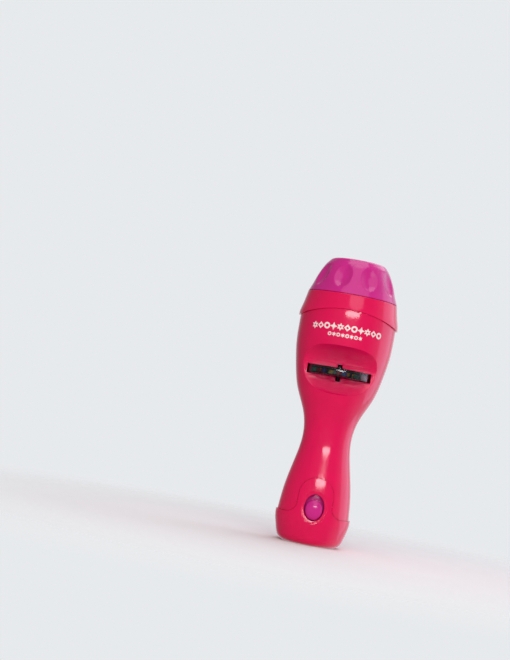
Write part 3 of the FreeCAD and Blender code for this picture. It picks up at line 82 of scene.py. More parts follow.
class RingSettings(bpy.types.PropertyGroup):
    """Grip scallops of the focus ring."""
    count: IntProperty(name="Scallops", description="Scallops round the focus ring", default=9,
                       min=3, max=24)
    depth: FloatProperty(name="Depth", description="Depth of a scallop at its middle",
                         default=1.75 * MM, min=0, max=2.5 * MM, unit="LENGTH", precision=5)
    half_width: FloatProperty(name="Half width", description="Half of a scallop's width",
                              default=4.95 * MM, min=1 * MM, max=7 * MM, unit="LENGTH", precision=5)
    half_length: FloatProperty(name="Half length", description="Half of a scallop's length",
                               default=6.9 * MM, min=2 * MM, max=9 * MM, unit="LENGTH", precision=5)
    segments: IntProperty(name="Segments", description="Faces round the ring", default=288, min=72,
                          max=720)


class StudioSettings(bpy.types.PropertyGroup):
    """Lights, floor and camera."""
    key_power: FloatProperty(name="Key light", description="Power of the wide key strip",
                             default=1.3, min=0, unit="POWER")
    top_power: FloatProperty(name="Top softbox", description="Power of the softboxes overhead",
                             default=1.0, min=0, unit="POWER")
    fill_power: FloatProperty(name="Front fill", description="Power of the fill from in front",
                              default=7.4, min=0, unit="POWER")
    side_power: FloatProperty(name="Side softbox", description="Power of the tall side softbox",
                              default=1.0, min=0, unit="POWER")
    surround: FloatProperty(name="Surround", description="Brightness of the studio all round",
                            default=0.30, min=0, max=2)
    backdrop: FloatVectorProperty(name="Backdrop", description="Colour of the plain backdrop",
                                  subtype="COLOR", default=(0.80, 0.82, 0.84), min=0, max=1)
    camera_distance: FloatProperty(name="Camera distance", description="From the torch's axis",
                                   default=0.8, min=0.3, max=3, unit="LENGTH")
    camera_elevation: FloatProperty(name="Camera elevation", description="Above the horizon",
                                    default=math.radians(-1.4), subtype="ANGLE")
    camera_roll: FloatProperty(name="Camera roll", description="Turn about the line of sight",
                               default=math.radians(10.5), subtype="ANGLE")


# ---- shader node groups

def new_group(name, inputs, outputs):
    """A shader node group, its input and its output node; a tuple is a colour's default."""
    group = bpy.data.node_groups.new(name, "ShaderNodeTree")
    group.interface.new_socket(name="Vector", in_out="INPUT", socket_type="NodeSocketVector")
    for label, value in inputs.items():
        kind = "NodeSocketColor" if isinstance(value, tuple) else "NodeSocketFloat"
        socket = group.interface.new_socket(name=label, in_out="INPUT", socket_type=kind)
        socket.default_value = value
    for label in outputs:
        kind = "NodeSocketColor" if label == "Colour" else "NodeSocketFloat"
        group.interface.new_socket(name=label, in_out="OUTPUT", socket_type=kind)
    return group, group.nodes.new("NodeGroupInput"), group.nodes.new("NodeGroupOutput")


def add_node(tree, kind, values=None, **settings):
    """A node with its settings, and with plain values in its input sockets."""
    node = tree.nodes.new(kind)
    for name, value in settings.items():
        setattr(node, name, value)
    for name, value in (values or {}).items():
        node.inputs[name].default_value = value
    return node


def feed(tree, socket, value):
    """Link the socket to the value where that is a socket too, and set it otherwise."""
    if isinstance(value, bpy.types.NodeSocket):
        tree.links.new(value, socket)
    else:
        socket.default_value = value


def noise(tree, vector, scale, detail=1.0):
    node = add_node(tree, "ShaderNodeTexNoise", {"Detail": detail, "Roughness": 0.5})
    feed(tree, node.inputs["Vector"], vector)
    feed(tree, node.inputs["Scale"], scale)
    return node.outputs["Fac"]


def remap(tree, value, low, high, to_low, to_high):
    """The value moved from one range to another, where the ends may be sockets."""
    node = add_node(tree, "ShaderNodeMapRange")
    for name, given in (("Value", value), ("From Min", low), ("From Max", high),
                        ("To Min", to_low), ("To Max", to_high)):
        feed(tree, node.inputs[name], given)
    return node.outputs["Result"]


def arithmetic(tree, operation, first, second=0.0):
    node = add_node(tree, "ShaderNodeMath", operation=operation)
    feed(tree, node.inputs[0], first)
    feed(tree, node.inputs[1], second)
    return node.outputs[0]


def mix_colours(tree, factor, first, second, blend_type="MIX"):
    node = add_node(tree, "ShaderNodeMix", data_type="RGBA", blend_type=blend_type)
    for index, value in ((0, factor), (6, first), (7, second)):
        feed(tree, node.inputs[index], value)
    return node.outputs[2]


def swing(tree, value, amount):
    """How far the value is from a half, times an amount."""
    return arithmetic(tree, "MULTIPLY", arithmetic(tree, "SUBTRACT", value, 0.5), amount)


def build_moulding_group():
    """Moulded plastic: a faint cloud in the colour, uneven gloss and a soft flow ripple."""
    group, entry, leave = new_group(
        "Moulded Plastic",
        {"Colour": (0.5, 0.5, 0.5, 1.0), "Cloud Scale": 90.0, "Cloud": 0.06, "Roughness": 0.2,
         "Uneven Gloss": 0.04, "Grain Scale": 2200.0}, ["Colour", "Roughness", "Height"])
    given, place = entry.outputs, entry.outputs["Vector"]
    cloud = noise(group, place, given["Cloud Scale"], 3.0)
    darker = arithmetic(group, "SUBTRACT", 1.0, given["Cloud"])
    lighter = arithmetic(group, "ADD", 1.0, given["Cloud"])
    gain = remap(group, cloud, 0.3, 0.7, darker, lighter)
    grey = add_node(group, "ShaderNodeCombineColor")
    for socket in grey.inputs:
        group.links.new(gain, socket)
    tinted = mix_colours(group, 1.0, given["Colour"], grey.outputs[0], "MULTIPLY")
    group.links.new(tinted, leave.inputs["Colour"])
    spread = swing(group, noise(group, place, 420.0, 2.0), given["Uneven Gloss"])
    rough = arithmetic(group, "ADD", given["Roughness"], spread)
    group.links.new(rough, leave.inputs["Roughness"])
    grain = arithmetic(group, "MULTIPLY", noise(group, place, given["Grain Scale"]), 0.08)
    height = arithmetic(group, "ADD", noise(group, place, 160.0), grain)
    group.links.new(height, leave.inputs["Height"])
    return group


def build_scratch_group():
    """Handling marks: long hair scratches in two directions, as a mask."""
    group, entry, leave = new_group("Hair Scratches", {"Scale": 120.0, "Sharpness": 0.72},
                                    ["Mask"])
    masks = []
    for turn, squeeze in ((0.4, 14.0), (1.9, 18.0)):
        mapping = add_node(group, "ShaderNodeMapping", {"Rotation": (turn, turn * 0.6, turn * 1.7),
                                                        "Scale": (1.0, squeeze, squeeze)})
        group.links.new(entry.outputs["Vector"], mapping.inputs["Vector"])
        streak = noise(group, mapping.outputs["Vector"], entry.outputs["Scale"])
        masks.append(remap(group, streak, entry.outputs["Sharpness"], 0.85, 0.0, 1.0))
    group.links.new(arithmetic(group, "MAXIMUM", *masks), leave.inputs["Mask"])
    return group


def build_metal_group():
    """Plated metal: brushed streaks in the gloss and a faint tarnish in the colour."""
    group, entry, leave = new_group(
        "Plated Metal",
        {"Colour": (0.6, 0.6, 0.6, 1.0), "Tarnish": (0.3, 0.25, 0.2, 1.0), "Roughness": 0.25,
         "Streak Scale": 900.0}, ["Colour", "Roughness", "Height"])
    given, place = entry.outputs, entry.outputs["Vector"]
    spots = remap(group, noise(group, place, 260.0, 4.0), 0.52, 0.75, 0.0, 0.55)
    colour = mix_colours(group, spots, given["Colour"], given["Tarnish"])
    group.links.new(colour, leave.inputs["Colour"])
    mapping = add_node(group, "ShaderNodeMapping", {"Scale": (1.0, 1.0, 0.06)})
    group.links.new(place, mapping.inputs["Vector"])
    streak = noise(group, mapping.outputs["Vector"], given["Streak Scale"], 2.0)
    rough = arithmetic(group, "ADD", given["Roughness"], swing(group, streak, 0.25))
    worn = arithmetic(group, "ADD", rough, arithmetic(group, "MULTIPLY", spots, 0.2))
    group.links.new(worn, leave.inputs["Roughness"])
    group.links.new(streak, leave.inputs["Height"])
    return group


GROUPS = {}
MATERIALS = {}


def new_material(name):
    """A material with an empty tree, its Principled shader and its object coordinates."""
    material = bpy.data.materials.new(name)
    material.use_nodes = True
    tree = material.node_tree
    tree.nodes.clear()
    shader = add_node(tree, "ShaderNodeBsdfPrincipled")
    output = add_node(tree, "ShaderNodeOutputMaterial")
    tree.links.new(shader.outputs[0], output.inputs["Surface"])
    place = add_node(tree, "ShaderNodeTexCoord").outputs["Object"]
    MATERIALS[name] = material
    return tree, shader, place


def group_node(tree, group, place, values):
    node = add_node(tree, "ShaderNodeGroup", node_tree=GROUPS[group])
    for name, value in {"Vector": place, **values}.items():
        feed(tree, node.inputs[name], value)
    return node


def finish_with(tree, shader, node, bump, distance):
    """The group's colour and gloss go to the shader, and its height to a Bump."""
    tree.links.new(node.outputs["Colour"], shader.inputs["Base Color"])
    tree.links.new(node.outputs["Roughness"], shader.inputs["Roughness"])
    relief = add_node(tree, "ShaderNodeBump", {"Strength": bump, "Distance": distance})
    tree.links.new(node.outputs["Height"], relief.inputs["Height"])
    tree.links.new(relief.outputs["Normal"], shader.inputs["Normal"])


def add_scratches(tree, shader, node, place, amount, scale=120.0):
    """Hair scratches that make the finish rougher where it is handled."""
    marks = group_node(tree, "scratches", place, {"Scale": scale})
    extra = arithmetic(tree, "MULTIPLY", marks.outputs["Mask"], amount)
    total = arithmetic(tree, "ADD", node.outputs["Roughness"], extra)
    tree.links.new(total, shader.inputs["Roughness"])


def plastic(name, colour, roughness, cloud=0.05, uneven=0.05, bump=0.05, distance=0.05 * MM,
            scratches=0.0):
    """A moulded plastic."""
    tree, shader, place = new_material(name)
    shader.inputs["IOR"].default_value = 1.5
    node = group_node(tree, "moulding", place, {
        "Colour": (*colour, 1.0), "Roughness": roughness, "Cloud": cloud, "Uneven Gloss": uneven})
    finish_with(tree, shader, node, bump, distance)
    if scratches:
        add_scratches(tree, shader, node, place, scratches)


def metal(name, colour, tarnish, roughness, bump=0.15):
    tree, shader, place = new_material(name)
    shader.inputs["Metallic"].default_value = 1.0
    node = group_node(tree, "metal", place, {
        "Colour": (*colour, 1.0), "Tarnish": (*tarnish, 1.0), "Roughness": roughness})
    finish_with(tree, shader, node, bump, 0.02 * MM)


def clear(name, colour, roughness, ior, scratches=0.06, rim=None):
    """A clear plastic that light passes through, with its upright walls tinted in the rim's colour
    as a painted shade that dims what is seen through them.
    """
    tree, shader, place = new_material(name)
    shader.inputs["Transmission Weight"].default_value = 1.0
    shader.inputs["IOR"].default_value = ior
    colour = (*colour, 1.0)
    # painted shade: the upright walls get the grey rim colour so beads seen edge-on read dim in the
    # slot
    if rim is not None:
        facing = add_node(tree, "ShaderNodeSeparateXYZ")
        tree.links.new(place.node.outputs["Normal"], facing.inputs[0])
        level = arithmetic(tree, "ABSOLUTE", facing.outputs["Z"])
        upright = arithmetic(tree, "LESS_THAN", level, 0.5)
        colour = mix_colours(tree, upright, colour, (*rim, 1.0))
    node = group_node(tree, "moulding", place, {
        "Colour": colour, "Roughness": roughness, "Cloud": 0.01, "Uneven Gloss": 0.02})
    finish_with(tree, shader, node, 0.03, 0.03 * MM)
    add_scratches(tree, shader, node, place, scratches, 160.0)


def banded(name, bands, axis, roughness, metallic=0.0):
    """A finish in coloured bands along an axis: (where a band starts, its colour)."""
    tree, shader, place = new_material(name)
    shader.inputs["Metallic"].default_value = metallic
    split = add_node(tree, "ShaderNodeSeparateXYZ")
    tree.links.new(place, split.inputs[0])
    colour = (*bands[0][1], 1.0)
    for start, shade in bands[1:]:
        past = arithmetic(tree, "GREATER_THAN", split.outputs[axis], start)
        colour = mix_colours(tree, past, colour, (*shade, 1.0))
    node = group_node(tree, "moulding", place, {
        "Colour": colour, "Roughness": roughness, "Cloud": 0.05, "Uneven Gloss": 0.1})
    finish_with(tree, shader, node, 0.05, 0.02 * MM)


# ---- mesh helpers

def flowing(stations, steps):
    """Points on a smooth curve through the stations, with a number of steps in each span."""
    points = [Vector(station) for station in stations]
    points = [2 * points[0] - points[1]] + points + [2 * points[-1] - points[-2]]
    line = []
    for before, start, end, after in zip(points, points[1:], points[2:], points[3:]):
        for step in range(steps):
            t = step / steps
            line.append(0.5 * (2 * start + (end - before) * t
                               + (2 * before - 5 * start + 4 * end - after) * t * t
                               + (3 * start - 3 * end + after - before) * t ** 3))
    line.append(points[-2])
    return [tuple(point) for point in line]


def turned(corners, segments, centre=(0.0, 0.0), broken=(), radius=0.1, steps=2):
    """A bmesh of a closed outline spun about an upright axis, its broken corners rounded first."""
    bm = bmesh.new()
    verts = [bm.verts.new((across * MM, 0.0, up * MM)) for across, up in corners]
    for pair in zip(verts, verts[1:] + verts[:1]):
        bm.edges.new(pair)
    if broken:
        bm.faces.new(verts)
        bmesh.ops.bevel(bm, geom=[verts[index] for index in broken], offset=radius * MM,
                        offset_type="OFFSET", affect="VERTICES", segments=steps, profile=0.5,
                        material=-1, clamp_overlap=True)
        bmesh.ops.delete(bm, geom=list(bm.faces), context="FACES_ONLY")
    bmesh.ops.spin(bm, geom=list(bm.verts) + list(bm.edges), cent=(0, 0, 0), axis=(0, 0, 1),
                   dvec=(0, 0, 0), angle=FULL_TURN, steps=segments, use_merge=True)
    bmesh.ops.remove_doubles(bm, verts=bm.verts, dist=0.0005 * MM)
    bmesh.ops.dissolve_degenerate(bm, edges=bm.edges, dist=0.0005 * MM)
    bmesh.ops.recalc_face_normals(bm, faces=bm.faces)
    bmesh.ops.translate(bm, verts=bm.verts, vec=(centre[0] * MM, centre[1] * MM, 0.0))
    return bm


def keep_piece(bm, name, material, body, replaced=None, angle=35.0):
    """Turn the bmesh into a piece that rides on a body and stands for the CAD node it replaces."""
    mesh = bpy.data.meshes.new(name)
    bm.to_mesh(mesh)
    bm.free()
    mesh.materials.append(MATERIALS[material])
    mesh.polygons.foreach_set("use_smooth", [True] * len(mesh.polygons))
    mesh.set_sharp_from_angle(angle=math.radians(angle))
    piece = bpy.data.objects.new(name, mesh)
    bpy.context.scene.collection.objects.link(piece)
    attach(piece, body)
    if replaced:
        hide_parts(replaced)


def quarter_arc(steps):
    """Cosine and sine of evenly spaced angles from nought to a quarter turn."""
    angles = [step / steps * math.pi / 2 for step in range(steps + 1)]
    return [(math.cos(angle), math.sin(angle)) for angle in angles]


def round_size(node):
    """Middle x and y, radius, foot and top of a round CAD node, in millimetres."""
    low, high = (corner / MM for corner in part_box(node))
    return (low.x + high.x) / 2, (low.y + high.y) / 2, (high.x - low.x) / 2, low.z, high.z


def merged_copy(node, flatten=True):
    """A bmesh of the CAD node with its loose triangles merged, and flat faces made whole."""
    bm = bmesh.new()
    bm.from_mesh(NODES[node].data)
    bmesh.ops.remove_doubles(bm, verts=bm.verts, dist=0.002 * MM)
    bmesh.ops.dissolve_degenerate(bm, edges=bm.edges, dist=0.002 * MM)
    if flatten:
        bmesh.ops.dissolve_limit(bm, angle_limit=math.radians(0.6), use_dissolve_boundaries=False,
                                 verts=bm.verts, edges=bm.edges)
    return bm


def break_edges(bm, radius, angle=32.0, steps=2):
    """Round every edge that turns by more than the angle."""
    sharp = [e for e in bm.edges
             if len(e.link_faces) == 2 and e.calc_face_angle(0) > math.radians(angle)]
    bmesh.ops.bevel(bm, geom=sharp, offset=radius, offset_type="OFFSET", affect="EDGES",
                    segments=steps, profile=0.5, material=-1, clamp_overlap=True, miter_outer="ARC",
                    miter_inner="ARC")


# ---- sizes taken from the frame

# Millimetres throughout.
RING_LOW, RING_HIGH = round_size("focus_ring")[3:]
COLLAR_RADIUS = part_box("collar_ring")[1].x / MM
COLLAR_LOW, COLLAR_HIGH = round_size("collar_ring")[3:]
LENS_RADIUS, LENS_LOW, LENS_HIGH = round_size("projection_lens")[2:]
LENS_MIDDLE = (LENS_LOW + LENS_HIGH) / 2
KNOB_LOW, KNOB_HIGH = (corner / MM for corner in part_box("power_knob"))
SEAM = 0.15
RING_FOOT = COLLAR_HIGH + SEAM
RING_BORE = LENS_RADIUS + 3.2
RING_OPENING = LENS_RADIUS - 1.0
RING_SHARES = [(0.0, 0.0), (0.22, 0.1525), (0.45, 0.288), (0.66, 0.445), (0.83, 0.606),
               (0.94, 0.755)]  # rise and fall of the ring's skin as shares of its size
RING_WALL_LOW, RING_WALL_HIGH, RING_WALL_STEP = 18.45, 17.4, 149.0  # between bore and skin
SCALLOP_MIDDLE, SCALLOP_LEAN = 0.475, 20.9  # share of the ring's height, and degrees
BEARING = 19.5
ARCH_TOP = 127.02
ARCH_FADE = 131.5  # height where the collar no longer follows the arched seam
COLLAR_HIGH_RADIUS = 24.6
COLLAR_STATIONS = [(COLLAR_RADIUS, 118.0), (COLLAR_RADIUS, 123.5), (25.85, 129.2),
                   (COLLAR_HIGH_RADIUS, COLLAR_HIGH)]
COLLAR_INNER = [(24.5, 118.0), (24.3, 126.5), (22.2, 135.4)]


# ---- head of the torch

def scallop_dents(bm, ring, centre_height, lean):
    """Push the skin in where a grip scallop lies, with a soft lip round it."""
    bm.normal_update()
    pitch = FULL_TURN / ring.count
    soft, least, reach = 0.02, 0.004, -1.5
    moves = []
    for vert in bm.verts:
        radius = vert.co.xy.length
        wall = RING_WALL_LOW if vert.co.z < RING_WALL_STEP * MM else RING_WALL_HIGH
        if radius < wall * MM or vert.co.z < (RING_FOOT + 0.05) * MM:
            continue
        turn = math.atan2(vert.co.y, vert.co.x) + math.pi / 2
        offset = (turn / pitch - 0.5) % 1.0
        across = (offset - round(offset)) * pitch * radius
        along = (vert.co.z - centre_height) / math.cos(lean)
        share = math.hypot(across / ring.half_width, along / ring.half_length)
        room = 1.0 - share * share
        dent = 0.5 * (room + math.sqrt(room * room + soft * soft)) if room > reach else 0.0
        if dent > least:
            moves.append((vert, vert.normal * (-ring.depth * (dent - least))))
    for vert, move in moves:
        vert.co += move


def build_focus_ring(ring):
    """The scalloped focus ring: one spun moulding with its skirt, bore and cam channel."""
    height = RING_HIGH - RING_FOOT
    drop = COLLAR_HIGH_RADIUS - RING_OPENING
    skin = flowing([(COLLAR_HIGH_RADIUS - drop * fall, RING_FOOT + height * rise)
                    for rise, fall in RING_SHARES], 11)
    foot = [(COLLAR_HIGH_RADIUS - inward, RING_FOOT + up)
            for inward, up in ((0.9, 0.0), (0.18, 0.0), (0.05, 0.06))]
    lip_radius, lip_height = skin[-1]
    lip = [(lip_radius - inward, lip_height + up)
           for inward, up in ((0.24, 0.27), (0.56, 0.58), (0.92, 0.83), (1.32, 1.03))]
    lip += [(lip_radius - 1.72, RING_HIGH - 0.03), (lip_radius - 2.05, RING_HIGH)]
    lip += [(RING_OPENING + outward, RING_HIGH - down)
            for outward, down in ((0.38, 0.04), (0.1, 0.3), (0.0, 0.8), (0.0, 3.1))]
    channel, channel_half, channel_depth = LENS_MIDDLE - 2.7, 3.4, 1.25
    skirt, hook, hook_height = RING_BORE + 2.4, RING_BORE + 3.2, 1.6
    inside = [(RING_BORE, RING_HIGH - 5.9), (RING_BORE, channel + channel_half),
              (RING_BORE + channel_depth, channel + channel_half),
              (RING_BORE + channel_depth, channel - channel_half),
              (RING_BORE, channel - channel_half), (RING_BORE, RING_LOW), (hook, RING_LOW),
              (hook, RING_LOW + hook_height), (skirt, RING_LOW + hook_height),
              (skirt, RING_FOOT + 0.02)]
    bm = turned(foot + skin[1:] + lip + inside, ring.segments)
    scallop_dents(bm, ring, (RING_FOOT + height * SCALLOP_MIDDLE) * MM, math.radians(SCALLOP_LEAN))
    keep_piece(bm, "focus_ring_moulding", "purple_plastic", "focus_ring", "focus_ring", angle=42)


def arch_height(x):
    """Height of the arched seam at x: a circle through its top and the collar's two sides."""
    rise = ARCH_TOP - COLLAR_LOW
    radius = (COLLAR_RADIUS ** 2 + rise * rise) / (2 * rise)
    return ARCH_TOP - radius + math.sqrt(max(radius * radius - x * x, 0.0))


def radius_at(height, line):
    """Radius of a turned outline at a height, read between its stations."""
    for (low_radius, low), (high_radius, high) in zip(line, line[1:]):
        if height <= high:
            return low_radius + (high_radius - low_radius) * (height - low) / (high - low)
    return line[-1][0]


def build_collar_ring():
    """The collar: a spun ring whose lower edge follows the arched seam."""
    rows, inner_rows, edge = 26, 12, 0.16
    skin = flowing(COLLAR_STATIONS, 10)
    span = COLLAR_HIGH - 0.25 - COLLAR_LOW
    inner_top = COLLAR_HIGH - 2.6
    corners = [(COLLAR_RADIUS - edge, COLLAR_LOW),
               (COLLAR_RADIUS - edge * 0.3, COLLAR_LOW + edge * 0.3)]
    for row in range(rows + 1):
        height = COLLAR_LOW + span * row / rows
        corners.append((radius_at(height, skin), height if row else height + edge))
    corners += [(COLLAR_HIGH_RADIUS - 0.12, COLLAR_HIGH - 0.05),
                (COLLAR_HIGH_RADIUS - 0.4, COLLAR_HIGH), (BEARING, COLLAR_HIGH),
                (BEARING, inner_top)]
    for row in range(inner_rows + 1):
        height = inner_top + (COLLAR_LOW - inner_top) * row / inner_rows
        corners.append((radius_at(height, COLLAR_INNER), height))
    bm = turned(corners, 256)
    for vert in bm.verts:
        height = vert.co.z / MM
        if height < ARCH_FADE:
            fade = (ARCH_FADE - height) / (ARCH_FADE - COLLAR_LOW)
            lift = (arch_height(vert.co.x / MM) - COLLAR_LOW) * fade
            vert.co.z += lift * MM
            outer = vert.co.xy.length > (radius_at(height, COLLAR_INNER) + 0.5) * MM
            line = skin if outer else COLLAR_INNER
            scale = radius_at(height + lift, line) / radius_at(height, line)
            vert.co.x *= scale
            vert.co.y *= scale
    bmesh.ops.recalc_face_normals(bm, faces=bm.faces)
    keep_piece(bm, "collar_ring_moulding", "pink_plastic", "housing", "collar_ring", angle=40)


# ---- housing

def build_housing(settings):
    """The mouldings of the housing with their edges broken."""
    for node in ("front_shell", "rear_shell", "base_cap", "battery_door"):
        bm = merged_copy(node, flatten=False)
        break_edges(bm, settings.edge_radius)
        body = "battery_door" if node == "battery_door" else "housing"
        keep_piece(bm, node + "_moulding", "pink_plastic", body, node, angle=40)


def build_power_knob():
    """The slide button: an oval dome on its stem, with the flange that keeps it in."""
    half_width, half_height, rise = 4.7, 5.5, 2.6
    flange_depth, flange_edge = 1.0, 0.25
    middle = (KNOB_LOW.z + KNOB_HIGH.z) / 2
    shoulder = KNOB_LOW.y + rise
    stem = shoulder - KNOB_HIGH.y + 0.9
    dome = [(across, rise * out) for across, out in quarter_arc(14)]
    dome[-1] = (0.0, rise)
    bm = turned([(0.0, stem), (1.0, stem)] + dome, 72)
    front = Matrix(((half_width, 0, 0, 0), (0, 0, -1, shoulder * MM),
                    (0, half_height, 0, middle * MM), (0, 0, 0, 1)))
    bmesh.ops.transform(bm, matrix=front, verts=bm.verts)
    flange = bmesh.ops.create_cube(bm, size=1.0)["verts"]
    size = ((KNOB_HIGH.x - KNOB_LOW.x) * MM, flange_depth * MM, (KNOB_HIGH.z - KNOB_LOW.z) * MM)
    bmesh.ops.scale(bm, vec=size, verts=flange)
    bmesh.ops.translate(bm, vec=(0, (KNOB_HIGH.y - flange_depth / 2) * MM, middle * MM),
                        verts=flange)
    edges = {edge for vert in flange for edge in vert.link_edges}
    bmesh.ops.bevel(bm, geom=list(edges), offset=flange_edge * MM, offset_type="OFFSET",
                    affect="EDGES", segments=2, profile=0.5, material=-1, clamp_overlap=True)
    bmesh.ops.recalc_face_normals(bm, faces=bm.faces)
    keep_piece(bm, "power_knob_moulding", "knob_plastic", "slide_switch", "power_knob",
               angle=45)


# ---- prints and raised marks

def star_outline(points, outer, inner):
    return [((inner if index % 2 else outer) * math.sin(math.pi * index / points),
             (inner if index % 2 else outer) * math.cos(math.pi * index / points))
            for index in range(points * 2)]


def round_outline(radius, count):
    return [(radius * math.sin(FULL_TURN * index / count),
             radius * math.cos(FULL_TURN * index / count)) for index in range(count)]


def lay_mark(bm, outline, hole, across, up, thickness=0.1):
    """A flat mark in the XZ plane, open in its middle where a hole is given, facing -Y."""
    loops = [[bm.verts.new(((x + across) * MM, 0.0, (z + up) * MM)) for x, z in line]
             for line in (outline, hole) if line]
    if hole:
        rim = [bm.edges.new(pair) for verts in loops for pair in zip(verts, verts[1:] + verts[:1])]
        faces = bmesh.ops.bridge_loops(bm, edges=rim)["faces"]
    else:
        faces = [bm.faces.new(loops[0])]
    grown = bmesh.ops.extrude_face_region(bm, geom=faces)["geom"]
    front = [item for item in grown if isinstance(item, bmesh.types.BMVert)]
    bmesh.ops.translate(bm, verts=front, vec=(0, -thickness * MM, 0))


def wrap_on(bm, node, sink, proud, radius):
    """Wrap marks laid at y=0 round the torch, on the front skin of a CAD node."""
    skin = bmesh.new()
    skin.from_mesh(NODES[node].data)
    tree = BVHTree.FromBMesh(skin)
    skin.free()
    for vert in bm.verts:
        x, z = radius * MM * math.sin(vert.co.x / (radius * MM)), vert.co.z
        front = tree.ray_cast(Vector((x, -0.06, z)), Vector((0, 1, 0)))[0].y
        vert.co.x = x
        vert.co.y = front + (sink if vert.co.y > -1e-9 else -proud) * MM
    bmesh.ops.recalc_face_normals(bm, faces=bm.faces)


def build_ornament():
    """A printed ornament of kaleidoscope flakes above the disc slot, with a smaller row below."""
    flakes = [(star_outline(6, 2.1, 1.15), round_outline(0.5, 12)),
              (round_outline(1.85, 4), round_outline(0.8, 4)),
              (round_outline(1.75, 24), round_outline(0.85, 24)),
              (star_outline(4, 2.15, 0.9), None)]
    small = [(round_outline(1.05, 16), round_outline(0.5, 16)), (star_outline(6, 1.3, 0.62), None)]
    width, count, middle, bow = 37.4, 11, 116.4, 3.0
    small_width, small_count = 16.8, 8
    bm = bmesh.new()
    for index in range(count):
        share = index / (count - 1) - 0.5
        lay_mark(bm, *flakes[index % 4], share * width + 0.2, middle + 0.7 - bow * share * share)
    for index in range(small_count):
        share = index / (small_count - 1) - 0.5
        lay_mark(bm, *small[index % 2], share * small_width - 0.4, middle - 3.6)
    wrap_on(bm, "front_shell", 0.03, 0.03, 26.2)
    keep_piece(bm, "printed_ornament", "print_ink", "housing")


def build_switch_marks():
    """Raised marks on the foot cap: an arrow and a bar for on, a ring for off."""
    bar = [(-0.22, 0.0), (0.22, 0.0), (0.22, 1.7), (-0.22, 1.7)]
    arrow = [(-0.75, 2.5), (0.75, 2.5), (0.0, 3.6)]
    above, below = 31.0, 9.1
    bm = bmesh.new()
    lay_mark(bm, bar, None, 0.0, above)
    lay_mark(bm, arrow, None, 0.0, above)
    lay_mark(bm, round_outline(0.85, 20), round_outline(0.5, 20), 0.0, below)
    wrap_on(bm, "base_cap", 0.1, 0.16, 19.5)
    keep_piece(bm, "raised_switch_marks", "pink_plastic", "housing")


# ---- bead disc

def build_capsule():
    """The clear capsule and its pin: a turned dish with a hub, and its lid with a lip."""
    y, radius, bottom, lid = round_size("capsule_base")[1:]
    top = round_size("capsule_lid")[4]
    wall, skin, hub_bore, hub = 0.9, 0.8, 1.26, 2.16
    base = [(hub_bore, bottom), (radius, bottom), (radius, lid), (radius - wall, lid),
            (radius - wall, bottom + skin), (hub, bottom + skin), (hub, lid), (hub_bore, lid)]
    inside = radius - wall - 0.05
    rise, lip = lid + 0.02, 0.9
    cover = [(hub_bore, rise), (inside - 0.6, rise), (inside - 0.6, rise - lip),
             (inside, rise - lip), (inside, rise), (radius, rise), (radius, top), (hub_bore, top)]
    for node, corners, broken, edge in (("capsule_base", base, (1, 2, 3, 5, 6), 0.22),
                                        ("capsule_lid", cover, (2, 3, 5, 6), 0.18)):
        bm = turned(corners, 128, (0.0, y), broken, edge, 3)
        keep_piece(bm, node + "_moulding", "clear_styrene", "bead_disc", node)
    # the pin's near-black finish is a painted shade that keeps the slot's notch dark
    radius, foot, head = round_size("disc_axle")[2:]
    pin = [(0, foot), (radius, foot), (radius, head), (0, head)]
    bm = turned(pin, 40, (0.0, y), (1, 2), 0.3, 3)
    keep_piece(bm, "disc_axle_turning", "pin_dark_painted_shade", "disc_pin", "disc_axle")


def build_beads():
    """The loose beads, one piece for each colour, with their moulded edges broken."""
    for colour in ("red", "yellow", "blue", "green"):
        node = "beads_" + colour
        bm = merged_copy(node)
        break_edges(bm, 0.16 * MM, steps=3)
        keep_piece(bm, node + "_cast", "bead_" + colour, "bead_disc", node)


# ---- optics and lamp

def lens_outline(radius, edge_low, edge_high, bulge, steps=16):
    """Lower and upper line of a lens's half section, out from one pole and back to the other."""
    sphere = (radius * radius + bulge * bulge) / (2 * bulge)
    points = [(radius * out, sphere - math.sqrt(sphere * sphere - (radius * out) ** 2))
              for _, out in quarter_arc(steps)]
    return ([(r, edge_low - bulge + sag) for r, sag in points],
            [(r, edge_high + bulge - sag) for r, sag in reversed(points)])


def build_lenses():
    """The double-convex projection lens with its ground edge, and the domed condenser."""
    edge = 2.0
    low, high = lens_outline(LENS_RADIUS, LENS_MIDDLE - edge / 2, LENS_MIDDLE + edge / 2,
                             (LENS_HIGH - LENS_LOW - edge) / 2)
    bm = turned(low + high, 128)
    keep_piece(bm, "projection_lens_moulding", "clear_acrylic", "lens_carriage",
               "projection_lens", angle=30)
    radius, base, top = round_size("condenser_lens")[2:]
    edge = 0.5
    dome = lens_outline(radius, base, base + edge, top - base - edge)[1]
    bm = turned([(0.0, base), (radius - 0.12, base), (radius, base + 0.1)] + dome, 96)
    keep_piece(bm, "condenser_lens_moulding", "clear_acrylic", "housing", "condenser_lens",
               angle=30)


def build_lamp():
    """The lamp: a domed clear body, and the small cup that holds its chip."""
    flange, base, tip = round_size("led")[2:]
    radius = flange - 0.4
    dome = [(radius * across, tip - radius + radius * up) for across, up in quarter_arc(12)]
    dome[-1] = (0.0, tip)
    body = [(0.0, base), (flange, base), (flange, base + 0.85), (radius + 0.3, base + 1.0),
            (radius, base + 1.0)] + dome
    cup = [(r, base + up) for r, up in ((0.0, 2.0), (0.7, 2.0), (0.9, 3.2), (0.75, 3.2),
                                        (0.45, 2.6), (0.0, 2.6))]
    keep_piece(turned(body, 64), "led_body", "clear_epoxy", "housing", "led")
    keep_piece(turned(cup, 40), "led_cup", "tinned_steel", "housing")


# ---- power

